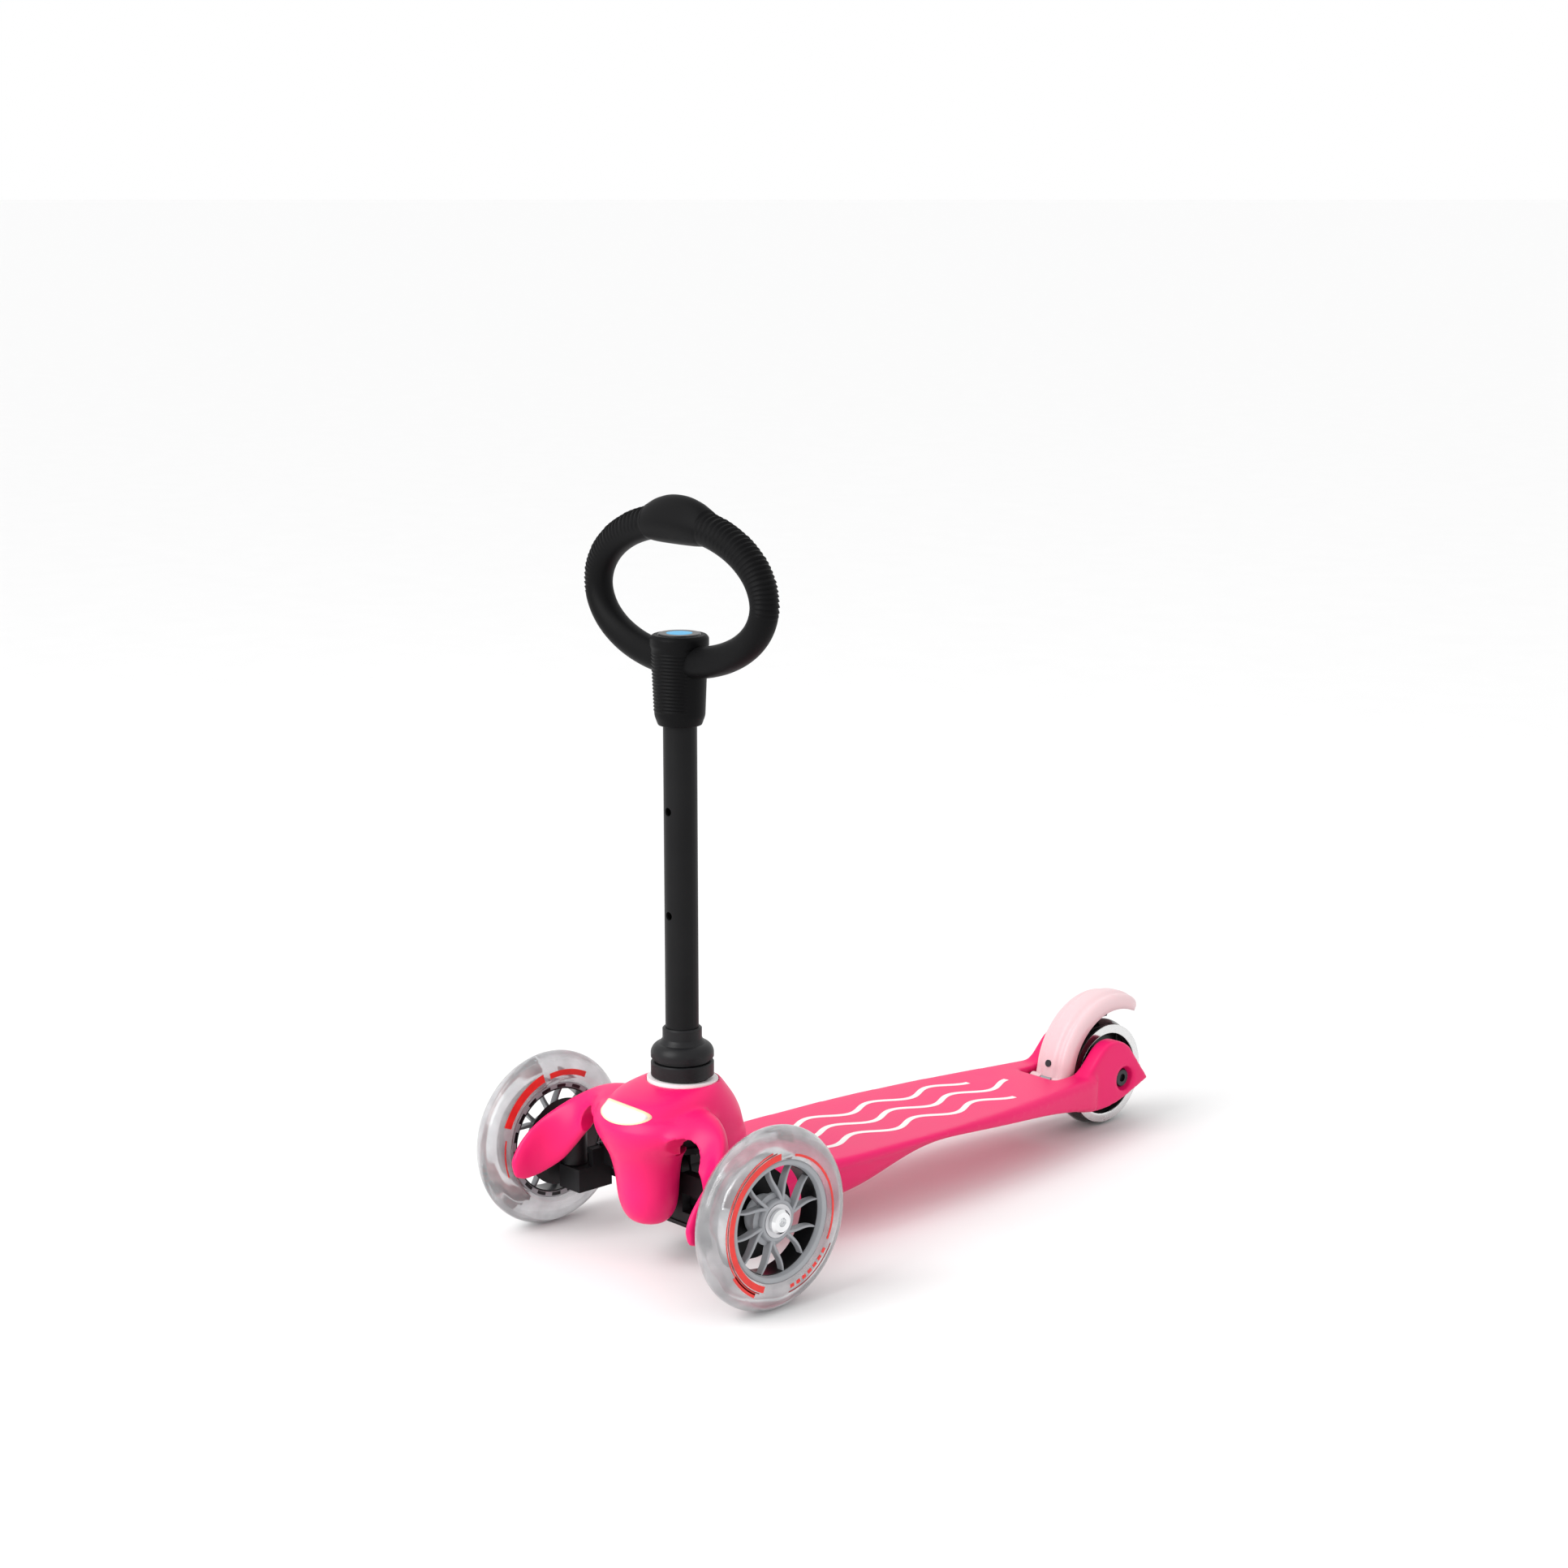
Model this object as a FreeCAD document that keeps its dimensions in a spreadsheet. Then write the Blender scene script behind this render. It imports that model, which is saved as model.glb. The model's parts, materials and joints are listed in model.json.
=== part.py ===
"""A child's three-wheeled lean-to-steer kick scooter, as separate pieces.

Frame: +Y to the rear, +X to the rider's left, +Z up, origin on the ground under the
middle of the scooter. Millimetres.
"""
import FreeCAD, Part
import math
import os
import re
import Sketcher
from FreeCAD import Placement, Rotation, Vector

DIMENSIONS = {
    # wheels and axles
    "half_track": 110.75, "axle_y": -211, "rear_axle_y": 225.4,
    "wheel_radius": 60, "rear_wheel_radius": 40, "tyre_half_width": 12,
    "tyre_shoulder": 10, "core_radius": 40, "rear_core_radius": 31, "core_half_width": 10,
    "rim_thickness": 3.5, "hub_radius": 13, "hub_inner_face": 10.5, "hub_outer_face": 7.5,
    "bearing_radius": 11, "bearing_width": 7, "axle_radius": 4, "axle_clearance": 0.05,
    # steering
    "kingpin_x": 84, "kingpin_radius": 4, "knuckle_low": 48.5, "knuckle_high": 71,
    "steering_arm": 26, "tie_rod_z": 40.2, "tie_rod_thickness": 5, "tie_rod_width": 12,
    "tie_pin_radius": 3, "tie_pin_clearance": 0.4,
    "tilt_z": 61, "tilt_shaft_radius": 5, "rocker_radius": 13,
    "front_lug_y": -198.5, "rear_lug_y": -164, "lug_thickness": 7,
    "boss_y": -191, "boss_length": 19,
    # column
    "stem_y": -187, "stem_radius": 11, "stem_wall": 1.5, "stem_low": 80, "stem_high": 410,
    "seat_hole_radius": 2.8, "seat_hole_high": 302, "seat_hole_low": 233,
    "collar_radius": 20.8, "collar_low": 124.3, "collar_high": 134, "socket_radius": 17,
    "ring_radius": 23.5, "ring_thickness": 3.4, "ring_slope": 3, "ring_z": 121,
    "button_z": 129.2, "button_radius": 3.6,
    "neck_radius": 13, "cap_low": 137, "cap_high": 148, "neck_high": 157,
    # handle
    "sleeve_low": 358, "sleeve_high": 416.5, "sleeve_radius": 16.4, "sleeve_top_radius": 18.2,
    "o_bar_z": 442.3, "o_bar_half_width": 80, "o_bar_half_height": 46, "o_bar_tube": 9.25,
    "knob_top": 505.5, "knob_bottom": 474, "knob_half_width": 25, "knob_half_depth": 11.5,
    # deck
    "deck_front": -151, "deck_height": 57, "deck_fall": 1.5,
    "ear_outer": 30.5, "ear_inner": 17.5, "slot_front": 160, "axle_recess": 6.5,
    # brake
    "fender_y": 230, "fender_z": 43, "fender_radius": 58.5, "fender_thickness": 3,
    "fender_half_width": 16,
    "brake_pivot_y": 173, "brake_pivot_z": 42, "brake_pin_radius": 2.5, "shoe_gap": 3.6,
}

doc = FreeCAD.newDocument("kick_scooter")
sheet = doc.addObject("Spreadsheet::Sheet", "dims")
for row, (alias, number) in enumerate(DIMENSIONS.items(), start=1):
    sheet.set("A%d" % row, alias)
    sheet.set("B%d" % row, str(number))
    sheet.setAlias("B%d" % row, alias)
doc.recompute()

ALIAS_WORD = re.compile(r"\b(" + "|".join(DIMENSIONS) + r")\b")
TURNS = {
    "+Z": Rotation(),
    "-Z": Rotation(Vector(1, 0, 0), 180),
    "+X": Rotation(Vector(0, 1, 0), 90),
    "-X": Rotation(Vector(0, 1, 0), -90),
    "+Y": Rotation(Vector(1, 0, 0), -90),
    "-Y": Rotation(Vector(1, 0, 0), 90),
}
nodes = []


def bound(text):
    """The expression text with each sheet alias written as the sheet's property."""
    return ALIAS_WORD.sub(r"dims.\1", str(text))


def size(text):
    """The present value of an expression, for geometry that can't hold the expression."""
    return float(sheet.evalExpression(bound(text)))


def place(item, at, axis="+Z"):
    """Turn an item's local Z to the axis and bind its position to the sheet."""
    item.Placement = Placement(Vector(*[size(text) for text in at]), TURNS[axis])
    for name, text in zip("xyz", at):
        item.setExpression("Placement.Base." + name, bound(text))
    return item


def node(item, label):
    """Name an item as a finished piece of the scooter."""
    item.Label = label
    nodes.append(item)
    return item


def cylinder(name, radius, length, at, axis="+Z"):
    item = doc.addObject("Part::Cylinder", name)
    item.setExpression("Radius", bound(radius))
    item.setExpression("Height", bound(length))
    return place(item, at, axis)


def cone(name, low_radius, high_radius, length, at, axis="+Z"):
    item = doc.addObject("Part::Cone", name)
    item.setExpression("Radius1", bound(low_radius))
    item.setExpression("Radius2", bound(high_radius))
    item.setExpression("Height", bound(length))
    return place(item, at, axis)


def box(name, sizes, at):
    """A box from its three sizes and its lowest corner."""
    item = doc.addObject("Part::Box", name)
    for prop, text in zip(("Length", "Width", "Height"), sizes):
        item.setExpression(prop, bound(text))
    return place(item, at)


def fuse(name, items):
    item = doc.addObject("Part::MultiFuse", name)
    item.Shapes = items
    return item


def cut(name, base, tools):
    item = doc.addObject("Part::Cut", name)
    item.Base = base
    item.Tool = tools[0] if len(tools) == 1 else fuse(name + "_tools", tools)
    return item


def group(name, items):
    item = doc.addObject("Part::Compound", name)
    item.Links = items
    return item


def origin_plane(body, role):
    return next(f for f in body.Origin.OriginFeatures if f.Role == role)


def outline(body, name, role, corners, arcs=None):
    """A closed sketch: corners are held by the sheet, and an arc passes its via point."""
    arcs = arcs or {}
    sketch = body.newObject("Sketcher::SketchObject", name)
    sketch.AttachmentSupport = [(origin_plane(body, role), "")]
    sketch.MapMode = "FlatFace"
    points = [Vector(size(u), size(v), 0) for u, v in corners]
    count = len(points)
    for i, start in enumerate(points):
        end = points[(i + 1) % count]
        if i in arcs:
            via = Vector(size(arcs[i][0]), size(arcs[i][1]), 0)
            sketch.addGeometry(Part.Arc(start, via, end), False)
        else:
            sketch.addGeometry(Part.LineSegment(start, end), False)
    # an arc may be stored the other way round, so its ends are looked up by position
    def end_of(index, point):
        curve = sketch.Geometry[index]
        return 1 if curve.StartPoint.distanceToPoint(point) < 1e-6 else 2

    def hold(index, position, u, v):
        for kind, text in (("DistanceX", u), ("DistanceY", v)):
            number = sketch.addConstraint(Sketcher.Constraint(kind, index, position, size(text)))
            sketch.setExpression("Constraints[%d]" % number, bound(text))

    for i, (u, v) in enumerate(corners):
        before = (i - 1) % count
        sketch.addConstraint(Sketcher.Constraint(
            "Coincident", before, end_of(before, points[i]), i, end_of(i, points[i])))
        hold(i, end_of(i, points[i]), u, v)
    for i, (u, v) in arcs.items():
        mark = sketch.addGeometry(Part.Point(Vector(size(u), size(v), 0)), True)
        hold(mark, 1, u, v)
        sketch.addConstraint(Sketcher.Constraint("PointOnObject", mark, 1, i))
    return sketch


def turned(name, corners, at, axis="+Z", arcs=None):
    """A turned piece: its half outline (radius, height) revolved about its own Z."""
    body = doc.addObject("PartDesign::Body", name)
    sketch = outline(body, name + "_outline", "XZ_Plane", corners, arcs)
    turn = body.newObject("PartDesign::Revolution", name + "_turn")
    turn.Profile = sketch
    turn.ReferenceAxis = (sketch, ["V_Axis"])
    turn.Angle = 360
    sketch.Visibility = False
    return place(body, at, axis)


def sleeve(name, outer, inner, low, high, at, axis="+Z"):
    """A plain turned ring between two heights on its own axis."""
    corners = [(inner, low), (outer, low), (outer, high), (inner, high)]
    return turned(name, corners, at, axis)


def shaped(name, shape):
    """A piece whose free-form shape is made directly."""
    item = doc.addObject("Part::Feature", name)
    item.Shape = shape
    return item


# ---------------------------------------------------------------- wheels

def wheel_core(name, radius, at, axis, windows):
    """Rim, hub and web in one turning, with a ring of windows cut through the web."""
    body = turned(name, [
        ("bearing_radius", "-hub_inner_face"), ("hub_radius", "-hub_inner_face"),
        ("hub_radius", "-2"), (radius + " - rim_thickness", "-2"),
        (radius + " - rim_thickness", "-core_half_width"), (radius, "-core_half_width"),
        (radius, "core_half_width"), (radius + " - rim_thickness", "core_half_width"),
        (radius + " - rim_thickness", "2"), ("hub_radius", "2"),
        ("hub_radius", "hub_outer_face"), ("bearing_radius", "hub_outer_face"),
        ("bearing_radius", "hub_outer_face - bearing_width"),
        ("bearing_radius - 2.5", "hub_outer_face - bearing_width"),
        ("bearing_radius - 2.5", "bearing_width - hub_inner_face"),
        ("bearing_radius", "bearing_width - hub_inner_face"),
    ], at, axis)
    solid_volume = math.pi * size(radius) ** 2 * 2 * size("core_half_width")
    inner = "hub_radius + 2.5"
    outer = radius + " - rim_thickness - 1.5"
    spread = 180.0 / windows
    near = "tan(%.3f) * (%s) - 1" % (spread, inner)
    far = "tan(%.3f) * (%s) - 1" % (spread, outer)
    window = outline(body, name + "_window", "XY_Plane",
                     [(inner, "-(%s)" % near), (outer, "-(%s)" % far), (outer, far), (inner, near)])
    pocket = body.newObject("PartDesign::Pocket", name + "_pocket")
    pocket.Profile = window
    pocket.Type = "ThroughAll"
    pocket.Midplane = True
    window.Visibility = False
    doc.recompute()
    before = pocket.BaseFeature.Shape.Volume
    if not pocket.Shape.Volume < before < solid_volume:
        raise RuntimeError(name + ": the window cut nothing")
    ring = body.newObject("PartDesign::PolarPattern", name + "_windows")
    ring.Originals = [pocket]
    ring.Axis = (window, ["N_Axis"])
    ring.Angle = 360
    ring.Occurrences = windows
    body.Tip = ring
    return body


def wheel(side, radius, core_radius, at, axis, windows):
    """Tyre, core, two bearings and their spacer, centred on the wheel's middle plane."""
    shoulder = radius + " - tyre_shoulder"
    node(turned("tyre_" + side, [
        (core_radius + " + 0.02", "-core_half_width"), (core_radius + " + 3", "-tyre_half_width"),
        (shoulder, "-tyre_half_width"), (shoulder, "tyre_half_width"),
        (core_radius + " + 3", "tyre_half_width"), (core_radius + " + 0.02", "core_half_width"),
    ], at, axis, arcs={2: (radius, "0")}), "tyre_" + side)
    node(wheel_core("wheel_core_" + side, core_radius, at, axis, windows), "wheel_core_" + side)
    bearings = []
    for place_name, low, high in (
            ("outer", "hub_outer_face - bearing_width + 0.02", "hub_outer_face"),
            ("inner", "-hub_inner_face", "bearing_width - hub_inner_face - 0.02")):
        bearings.append(sleeve("bearing_%s_%s" % (side, place_name), "bearing_radius - 0.02",
                               "axle_radius + axle_clearance", low, high, at, axis))
    node(group("bearings_" + side, bearings), "bearings_" + side)
    node(sleeve("bearing_spacer_" + side, "axle_radius + 1.8", "axle_radius + axle_clearance",
                "bearing_width - hub_inner_face", "hub_outer_face - bearing_width", at, axis),
         "bearing_spacer_" + side)


def make_wheels():
    for side, sign, axis in (("left", "", "+X"), ("right", "-", "-X")):
        wheel(side, "wheel_radius", "core_radius", (sign + "half_track", "axle_y", "wheel_radius"),
              axis, 12)
    wheel("rear", "rear_wheel_radius", "rear_core_radius",
          ("0", "rear_axle_y", "rear_wheel_radius"), "+X", 6)


# ---------------------------------------------------------------- front axle

COVER_SCREWS = (("front", "front_lug_y + 6"), ("rear", "front_lug_y + 38"))


def make_front_frame():
    """Cross plate, spine, kingpin lugs and the two lugs that hold the tilt shaft."""
    plate = box("frame_plate", ("146", "lug_thickness", "14"), ("-73", "front_lug_y", "48"))
    spine = box("frame_spine", ("48", "46", "7"), ("-24", "front_lug_y", "28"))
    tail = box("frame_tail", ("40", "50", "12"), ("-20", "deck_front - 22", "30"))
    solids = [plate, spine, tail]
    for name, at_y in (("front", "front_lug_y"), ("rear", "rear_lug_y")):
        solids.append(cylinder("lug_eye_" + name, "12", "lug_thickness",
                               ("0", at_y, "tilt_z"), "+Y"))
        solids.append(box("lug_post_" + name, ("24", "lug_thickness", "tilt_z - 33"),
                          ("-12", at_y, "33")))
    holes = [cylinder("shaft_bore", "tilt_shaft_radius", "90", ("0", "front_lug_y - 10", "tilt_z"), "+Y")]
    for side, sign, low_x, foot_x in (("left", "", "68.5", "68.5"), ("right", "-", "-73", "-89.5")):
        solids.append(box("frame_drop_" + side, ("4.5", "16.5", "28"),
                          (low_x, "front_lug_y + lug_thickness - 16.5", "32")))
        solids.append(box("kingpin_lug_" + side, ("21", "18", "16"), (foot_x, "axle_y - 9", "32")))
        holes.append(cylinder("kingpin_bore_" + side, "kingpin_radius", "20",
                              (sign + "kingpin_x", "axle_y", "30")))
        for place_name, at_y in COVER_SCREWS:
            holes.append(cylinder("cover_hole_%s_%s" % (side, place_name), "1.6", "8",
                                  (sign + "18", at_y, "27")))
        holes.append(cylinder("deck_bore_" + side, "2.5", "20",
                              (sign + "12", "deck_front + 16", "27")))
    node(cut("front_frame", fuse("frame_solid", solids), holes), "front_frame")

    node(cylinder("tilt_shaft_rod", "tilt_shaft_radius", "rear_lug_y - front_lug_y + lug_thickness",
                  ("0", "front_lug_y", "tilt_z"), "+Y"), "tilt_shaft")
    caps = []
    for name, at_y, axis in (("front", "front_lug_y", "-Y"),
                             ("rear", "rear_lug_y + lug_thickness", "+Y")):
        caps.append(cylinder("shaft_cap_" + name, "8", "2.5", ("0", at_y, "tilt_z"), axis))
    node(group("shaft_end_caps", caps), "shaft_end_caps")
    node(sleeve("return_spring", "tilt_shaft_radius + 4.5", "tilt_shaft_radius + 1",
                "0", "6.5", ("0", "rear_lug_y - 7", "tilt_z"), "+Y"), "return_spring")

    cover = box("cover_plate", ("52", "46", "2.5"), ("-26", "front_lug_y - 1", "25.3"))
    drill = []
    screws = []
    for side, sign in (("left", ""), ("right", "-")):
        for place_name, at_y in COVER_SCREWS:
            name = side + "_" + place_name
            drill.append(cylinder("cover_drill_" + name, "1.8", "6", (sign + "18", at_y, "24")))
            screws.append(fuse("cover_screw_" + name, [
                cylinder("cover_thread_" + name, "1.55", "8.5", (sign + "18", at_y, "25.3")),
                cylinder("cover_head_" + name, "3", "1.8", (sign + "18", at_y, "23.5")),
            ]))
    node(cut("bottom_cover", cover, drill), "bottom_cover")
    node(group("cover_screws", screws), "cover_screws")
    deck_screws = []
    for side, sign in (("left", ""), ("right", "-")):
        deck_screws.append(fuse("deck_screw_" + side, [
            cylinder("deck_thread_" + side, "2.45", "20", (sign + "12", "deck_front + 16", "29.5")),
            cylinder("deck_head_" + side, "4.5", "2.5", (sign + "12", "deck_front + 16", "27.4")),
        ]))
    node(group("deck_screws", deck_screws), "deck_screws")


def make_knuckles():
    """Kingpins, knuckles, their bushes, wheel bolts and the tie rod behind them."""
    kingpins = []
    for side, sign, out in (("left", "", "+X"), ("right", "-", "-X")):
        pin_at = (sign + "kingpin_x", "axle_y")
        kingpins.append(fuse("kingpin_" + side, [
            cylinder("kingpin_rod_" + side, "kingpin_radius - 0.02", "knuckle_high + 1 - 33",
                     pin_at + ("33",)),
            cylinder("kingpin_head_" + side, "kingpin_radius + 2.5", "3.5",
                     pin_at + ("knuckle_high + 0.6",)),
        ]))
        barrel = cylinder("knuckle_barrel_" + side, "kingpin_radius + 4.5",
                          "knuckle_high - knuckle_low", pin_at + ("knuckle_low",))
        axle_at = (sign + "kingpin_x", "axle_y", "wheel_radius")
        neck = cylinder("knuckle_neck_" + side, "9", "half_track - kingpin_x - 13.5", axle_at, out)
        nose = cylinder("knuckle_nose_" + side, "5.6", "half_track - hub_inner_face - 0.3 - kingpin_x",
                        axle_at, out)
        dish = cone("knuckle_dish_" + side, "13", "30", "5",
                    (sign + "(half_track - 18.5)", "axle_y", "wheel_radius"), out)
        arm = box("knuckle_arm_" + side, ("10", "steering_arm + 5", "5.5"),
                  (sign + "kingpin_x - 5", "axle_y", "knuckle_low"))
        bore = cylinder("knuckle_bore_" + side, "kingpin_radius + 1.5", "30", pin_at + ("47",))
        thread = cylinder("knuckle_thread_" + side, "axle_radius - 0.02", "16",
                          (sign + "(kingpin_x + 7)", "axle_y", "wheel_radius"), out)
        tie_hole = cylinder("tie_pin_hole_" + side, "tie_pin_radius", "12",
                            (sign + "kingpin_x", "axle_y + steering_arm", "knuckle_low - 3"))
        node(cut("knuckle_" + side, fuse("knuckle_solid_" + side, [barrel, neck, nose, dish, arm]),
                 [bore, thread, tie_hole]), "knuckle_" + side)
        node(sleeve("kingpin_bush_" + side, "kingpin_radius + 1.48", "kingpin_radius + 0.03",
                    "0", "knuckle_high - knuckle_low", pin_at + ("knuckle_low",)),
             "kingpin_bush_" + side)
        node(fuse("tie_pin_" + side, [
            cylinder("tie_pin_rod_" + side, "tie_pin_radius - 0.02", "18",
                     (sign + "kingpin_x", "axle_y + steering_arm", "knuckle_low + 6 - 18")),
            cylinder("tie_pin_head_" + side, "tie_pin_radius + 2", "2",
                     (sign + "kingpin_x", "axle_y + steering_arm", "knuckle_low + 5.5")),
        ]), "tie_pin_" + side)
        bolt = turned("axle_bolt_turning_" + side, [
            ("0", "kingpin_x + 8"), ("axle_radius - 0.02", "kingpin_x + 8"),
            ("axle_radius - 0.02", "half_track + hub_outer_face + 0.15"),
            ("8", "half_track + hub_outer_face + 0.15"),
            ("8", "half_track + hub_outer_face + 2.4"), ("6.4", "half_track + hub_outer_face + 4"),
            ("3", "half_track + hub_outer_face + 4"), ("3", "half_track + hub_outer_face + 1"),
            ("0", "half_track + hub_outer_face + 1"),
        ], ("0", "axle_y", "wheel_radius"), out)
        node(bolt, "axle_bolt_" + side)
    node(group("kingpins", kingpins), "kingpins")

    bar = box("tie_bar", ("2 * kingpin_x + 14", "tie_rod_width", "tie_rod_thickness"),
              ("-kingpin_x - 7", "axle_y + steering_arm - tie_rod_width / 2",
               "tie_rod_z - tie_rod_thickness / 2"))
    holes = [box("tie_slot", ("9.8", "9", "10"), ("-4.9", "axle_y + steering_arm - 4.5", "tie_rod_z - 5"))]
    for side, sign in (("left", ""), ("right", "-")):
        holes.append(cylinder("tie_eye_" + side, "tie_pin_radius + tie_pin_clearance", "10",
                              (sign + "kingpin_x", "axle_y + steering_arm", "tie_rod_z - 5")))
    node(cut("tie_rod", bar, holes), "tie_rod")


# ---------------------------------------------------------------- column

def make_rocker():
    """The lever that leans on the tilt shaft and moves the tie rod with its finger."""
    boss = cylinder("rocker_boss", "rocker_radius", "boss_length", ("0", "boss_y", "tilt_z"), "+Y")
    block = box("rocker_block", ("24", "boss_length", "12"), ("-12", "boss_y", "tilt_z + 2"))
    flange = cylinder("rocker_flange", "19", "4", ("0", "stem_y", "tilt_z + 13.8"))
    finger = cylinder("rocker_finger", "4", "tilt_z - 36.6",
                      ("0", "axle_y + steering_arm", "36.6"))
    bore = cylinder("rocker_bore", "tilt_shaft_radius + 1.5", "40", ("0", "stem_y - 20", "tilt_z"), "+Y")
    drills = []
    screws = []
    for side, sign in (("left", ""), ("right", "-")):
        drills.append(cylinder("rocker_drill_" + side, "1.8", "10",
                               (sign + "14.5", "stem_y", "tilt_z + 11")))
        screws.append(fuse("socket_screw_" + side, [
            cylinder("socket_thread_" + side, "1.75", "12", (sign + "14.5", "stem_y", "tilt_z + 13.5")),
            cylinder("socket_head_" + side, "2.2", "2", (sign + "14.5", "stem_y", "tilt_z + 11.7")),
        ]))
    node(cut("rocker", fuse("rocker_solid", [boss, block, flange, finger]), [bore] + drills), "rocker")
    bushes = []
    for name, at_y in (("front", "boss_y"), ("rear", "boss_y + boss_length - 9")):
        bushes.append(sleeve("rocker_bush_" + name, "tilt_shaft_radius + 1.48",
                             "tilt_shaft_radius + 0.05", "0", "9", ("0", at_y, "tilt_z"), "+Y"))
    node(group("rocker_bushes", bushes), "rocker_bushes")
    node(group("socket_screws", screws), "socket_screws")


def make_column():
    stem_at = ("0", "stem_y", "0")
    socket = turned("socket_turning", [
        ("stem_radius + 0.1", "tilt_z + 17.9"), ("socket_radius", "tilt_z + 17.9"),
        ("socket_radius", "86"), ("28", "86"), ("28", "90"), ("socket_radius", "92"),
        ("socket_radius", "collar_low"), ("collar_radius - 0.6", "collar_low"),
        ("collar_radius", "collar_low + 0.6"), ("collar_radius", "collar_high - 0.8"),
        ("collar_radius - 0.8", "collar_high"), ("stem_radius + 0.1", "collar_high"),
    ], stem_at)
    button_bore = cylinder("button_bore", "button_radius + 0.2", "14",
                           ("0", "stem_y + 12.5", "button_z"), "+Y")
    drills = [button_bore]
    for side, sign in (("left", ""), ("right", "-")):
        drills.append(cylinder("socket_drill_" + side, "1.75", "8.5",
                               (sign + "14.5", "stem_y", "tilt_z + 17.5")))
        drills.append(cylinder("hood_drill_" + side, "1.8", "8", (sign + "24", "stem_y", "84")))
    node(cut("steering_socket", socket, drills), "steering_socket")
    node(turned("lock_button", [
        ("0", "14.5"), ("button_radius", "14.5"), ("button_radius", "22.2"),
        ("button_radius - 1", "23.2"), ("0", "23.2"),
    ], ("0", "stem_y", "button_z"), "+Y"), "lock_button")
    ring = sleeve("collar_ring", "ring_radius", "socket_radius + 0.4", "-ring_thickness / 2",
                  "ring_thickness / 2", ("0", "stem_y", "ring_z"))
    ring.Placement.Rotation = Rotation(Vector(-1, 0, 0), size("ring_slope"))
    node(ring, "collar_ring")

    tube = sleeve("stem_turning", "stem_radius", "stem_radius - stem_wall", "stem_low", "stem_high",
                  stem_at)
    holes = []
    for name, height in (("high", "seat_hole_high"), ("low", "seat_hole_low")):
        holes.append(cylinder("seat_hole_" + name, "seat_hole_radius", "stem_radius + 4",
                              ("0", "stem_y", height), "-Y"))
    node(cut("stem_tube", tube, holes), "stem_tube")
    node(turned("stem_base", [
        ("stem_radius + 0.02", "collar_high + 0.6"), ("collar_radius - 2.4", "collar_high + 0.6"),
        ("collar_radius - 2.4", "cap_low"), ("collar_radius", "cap_low"),
        ("collar_radius", "cap_low + 3"), ("neck_radius + 2.4", "cap_high - 1.6"),
        ("neck_radius + 1", "cap_high"), ("neck_radius", "cap_high + 1.5"),
        ("neck_radius", "neck_high - 1"), ("neck_radius - 1", "neck_high"),
        ("stem_radius + 0.02", "neck_high"),
    ], stem_at, arcs={4: ("collar_radius - 2", "cap_low + 7.4")}), "stem_base")


def level_loft(sections, shrink=0.0):
    """A solid through level ellipses given as (z, middle y, half depth, half width)."""
    wires = []
    for height, middle, half_depth, half_width in sections:
        centre = Vector(0, size("axle_y") + middle, height)
        depth = max(half_depth - shrink, 0.5)
        width = max(half_width - shrink, 0.5)
        wires.append(oval(centre, depth, width))
    return Part.makeLoft(wires, True, False)


def oval(centre, half_depth, half_width):
    """A level closed curve with its seam at the rear, periodic and evenly sampled."""
    points = []
    for step in range(16):
        angle = 2 * math.pi * step / 16
        points.append(centre + Vector(half_width * math.sin(angle), half_depth * math.cos(angle), 0))
    curve = Part.BSplineCurve()
    curve.interpolate(points, PeriodicFlag=True)
    return Part.Wire([curve.toShape()])


def wing_loft(side):
    """A solid leaf through the wing's stations, each section square to the wing's run."""
    axle = size("axle_y")
    ridges = [Vector(side * x, axle + y, z) for (x, y, z), _, _ in WING]
    lowers = [Vector(side * x, axle + y, z) for _, (x, y, z), _ in WING]
    middles = [(ridge + lower) * 0.5 for ridge, lower in zip(ridges, lowers)]
    wires = []
    for i, (_, _, thickness) in enumerate(WING):
        run = middles[min(i + 1, len(WING) - 1)] - middles[max(i - 1, 0)]
        across = Vector(-run.y, run.x, 0).normalize() * (thickness * side)
        up = (ridges[i] - lowers[i]) * 0.5
        points = []
        for step in range(12):
            angle = 2 * math.pi * step / 12
            points.append(middles[i] + up * math.cos(angle) + across * math.sin(angle))
        curve = Part.BSplineCurve()
        curve.interpolate(points, PeriodicFlag=True)
        wires.append(Part.Wire([curve.toShape()]))
    return Part.makeLoft(wires, True, False)


HOOD_WALL = 2.8
DOME = ((86, 17.5, 49, 41), (97, 15, 49, 39.5), (107, 12.5, 46.5, 37), (115, 13, 40, 33),
        (119.5, 18, 32, 28.5), (122.6, 23.8, 24.6, 24.6))
SKIRT = ((68, 19, 50, 43), (78, 18.5, 49.5, 42.5), (88, 17.5, 49, 41))
NOSE = ((30, -6, 5.5, 6.5), (32.5, -6, 11, 12), (38, -6, 16, 17), (48, -6.5, 18.5, 20.5),
        (62, -7, 19.5, 22.3), (78, -8, 21.5, 25), (92, -8, 24.5, 29), (104, -5, 26, 30))
# ridge, lower edge (x, y from the axle, z) and half thickness of each wing section
WING = (((34, 22, 111), (34, 10, 93), 6), ((50, 16, 111), (49, 5, 88.5), 6),
        ((64, 8, 106), (58, -1, 78), 5.8), ((74, -1.5, 99.5), (65, -9, 67), 5.4),
        ((81, -12, 92), (72, -16.5, 58), 5), ((85.2, -25, 84), (79, -25.5, 50.5), 4.4),
        ((87, -37, 74), (84.6, -34.5, 46.5), 3.2), ((88.4, -45, 63), (87.2, -43, 45.5), 1.8),
        ((88.8, -49, 54), (88.4, -48, 47.5), 0.7))


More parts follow.
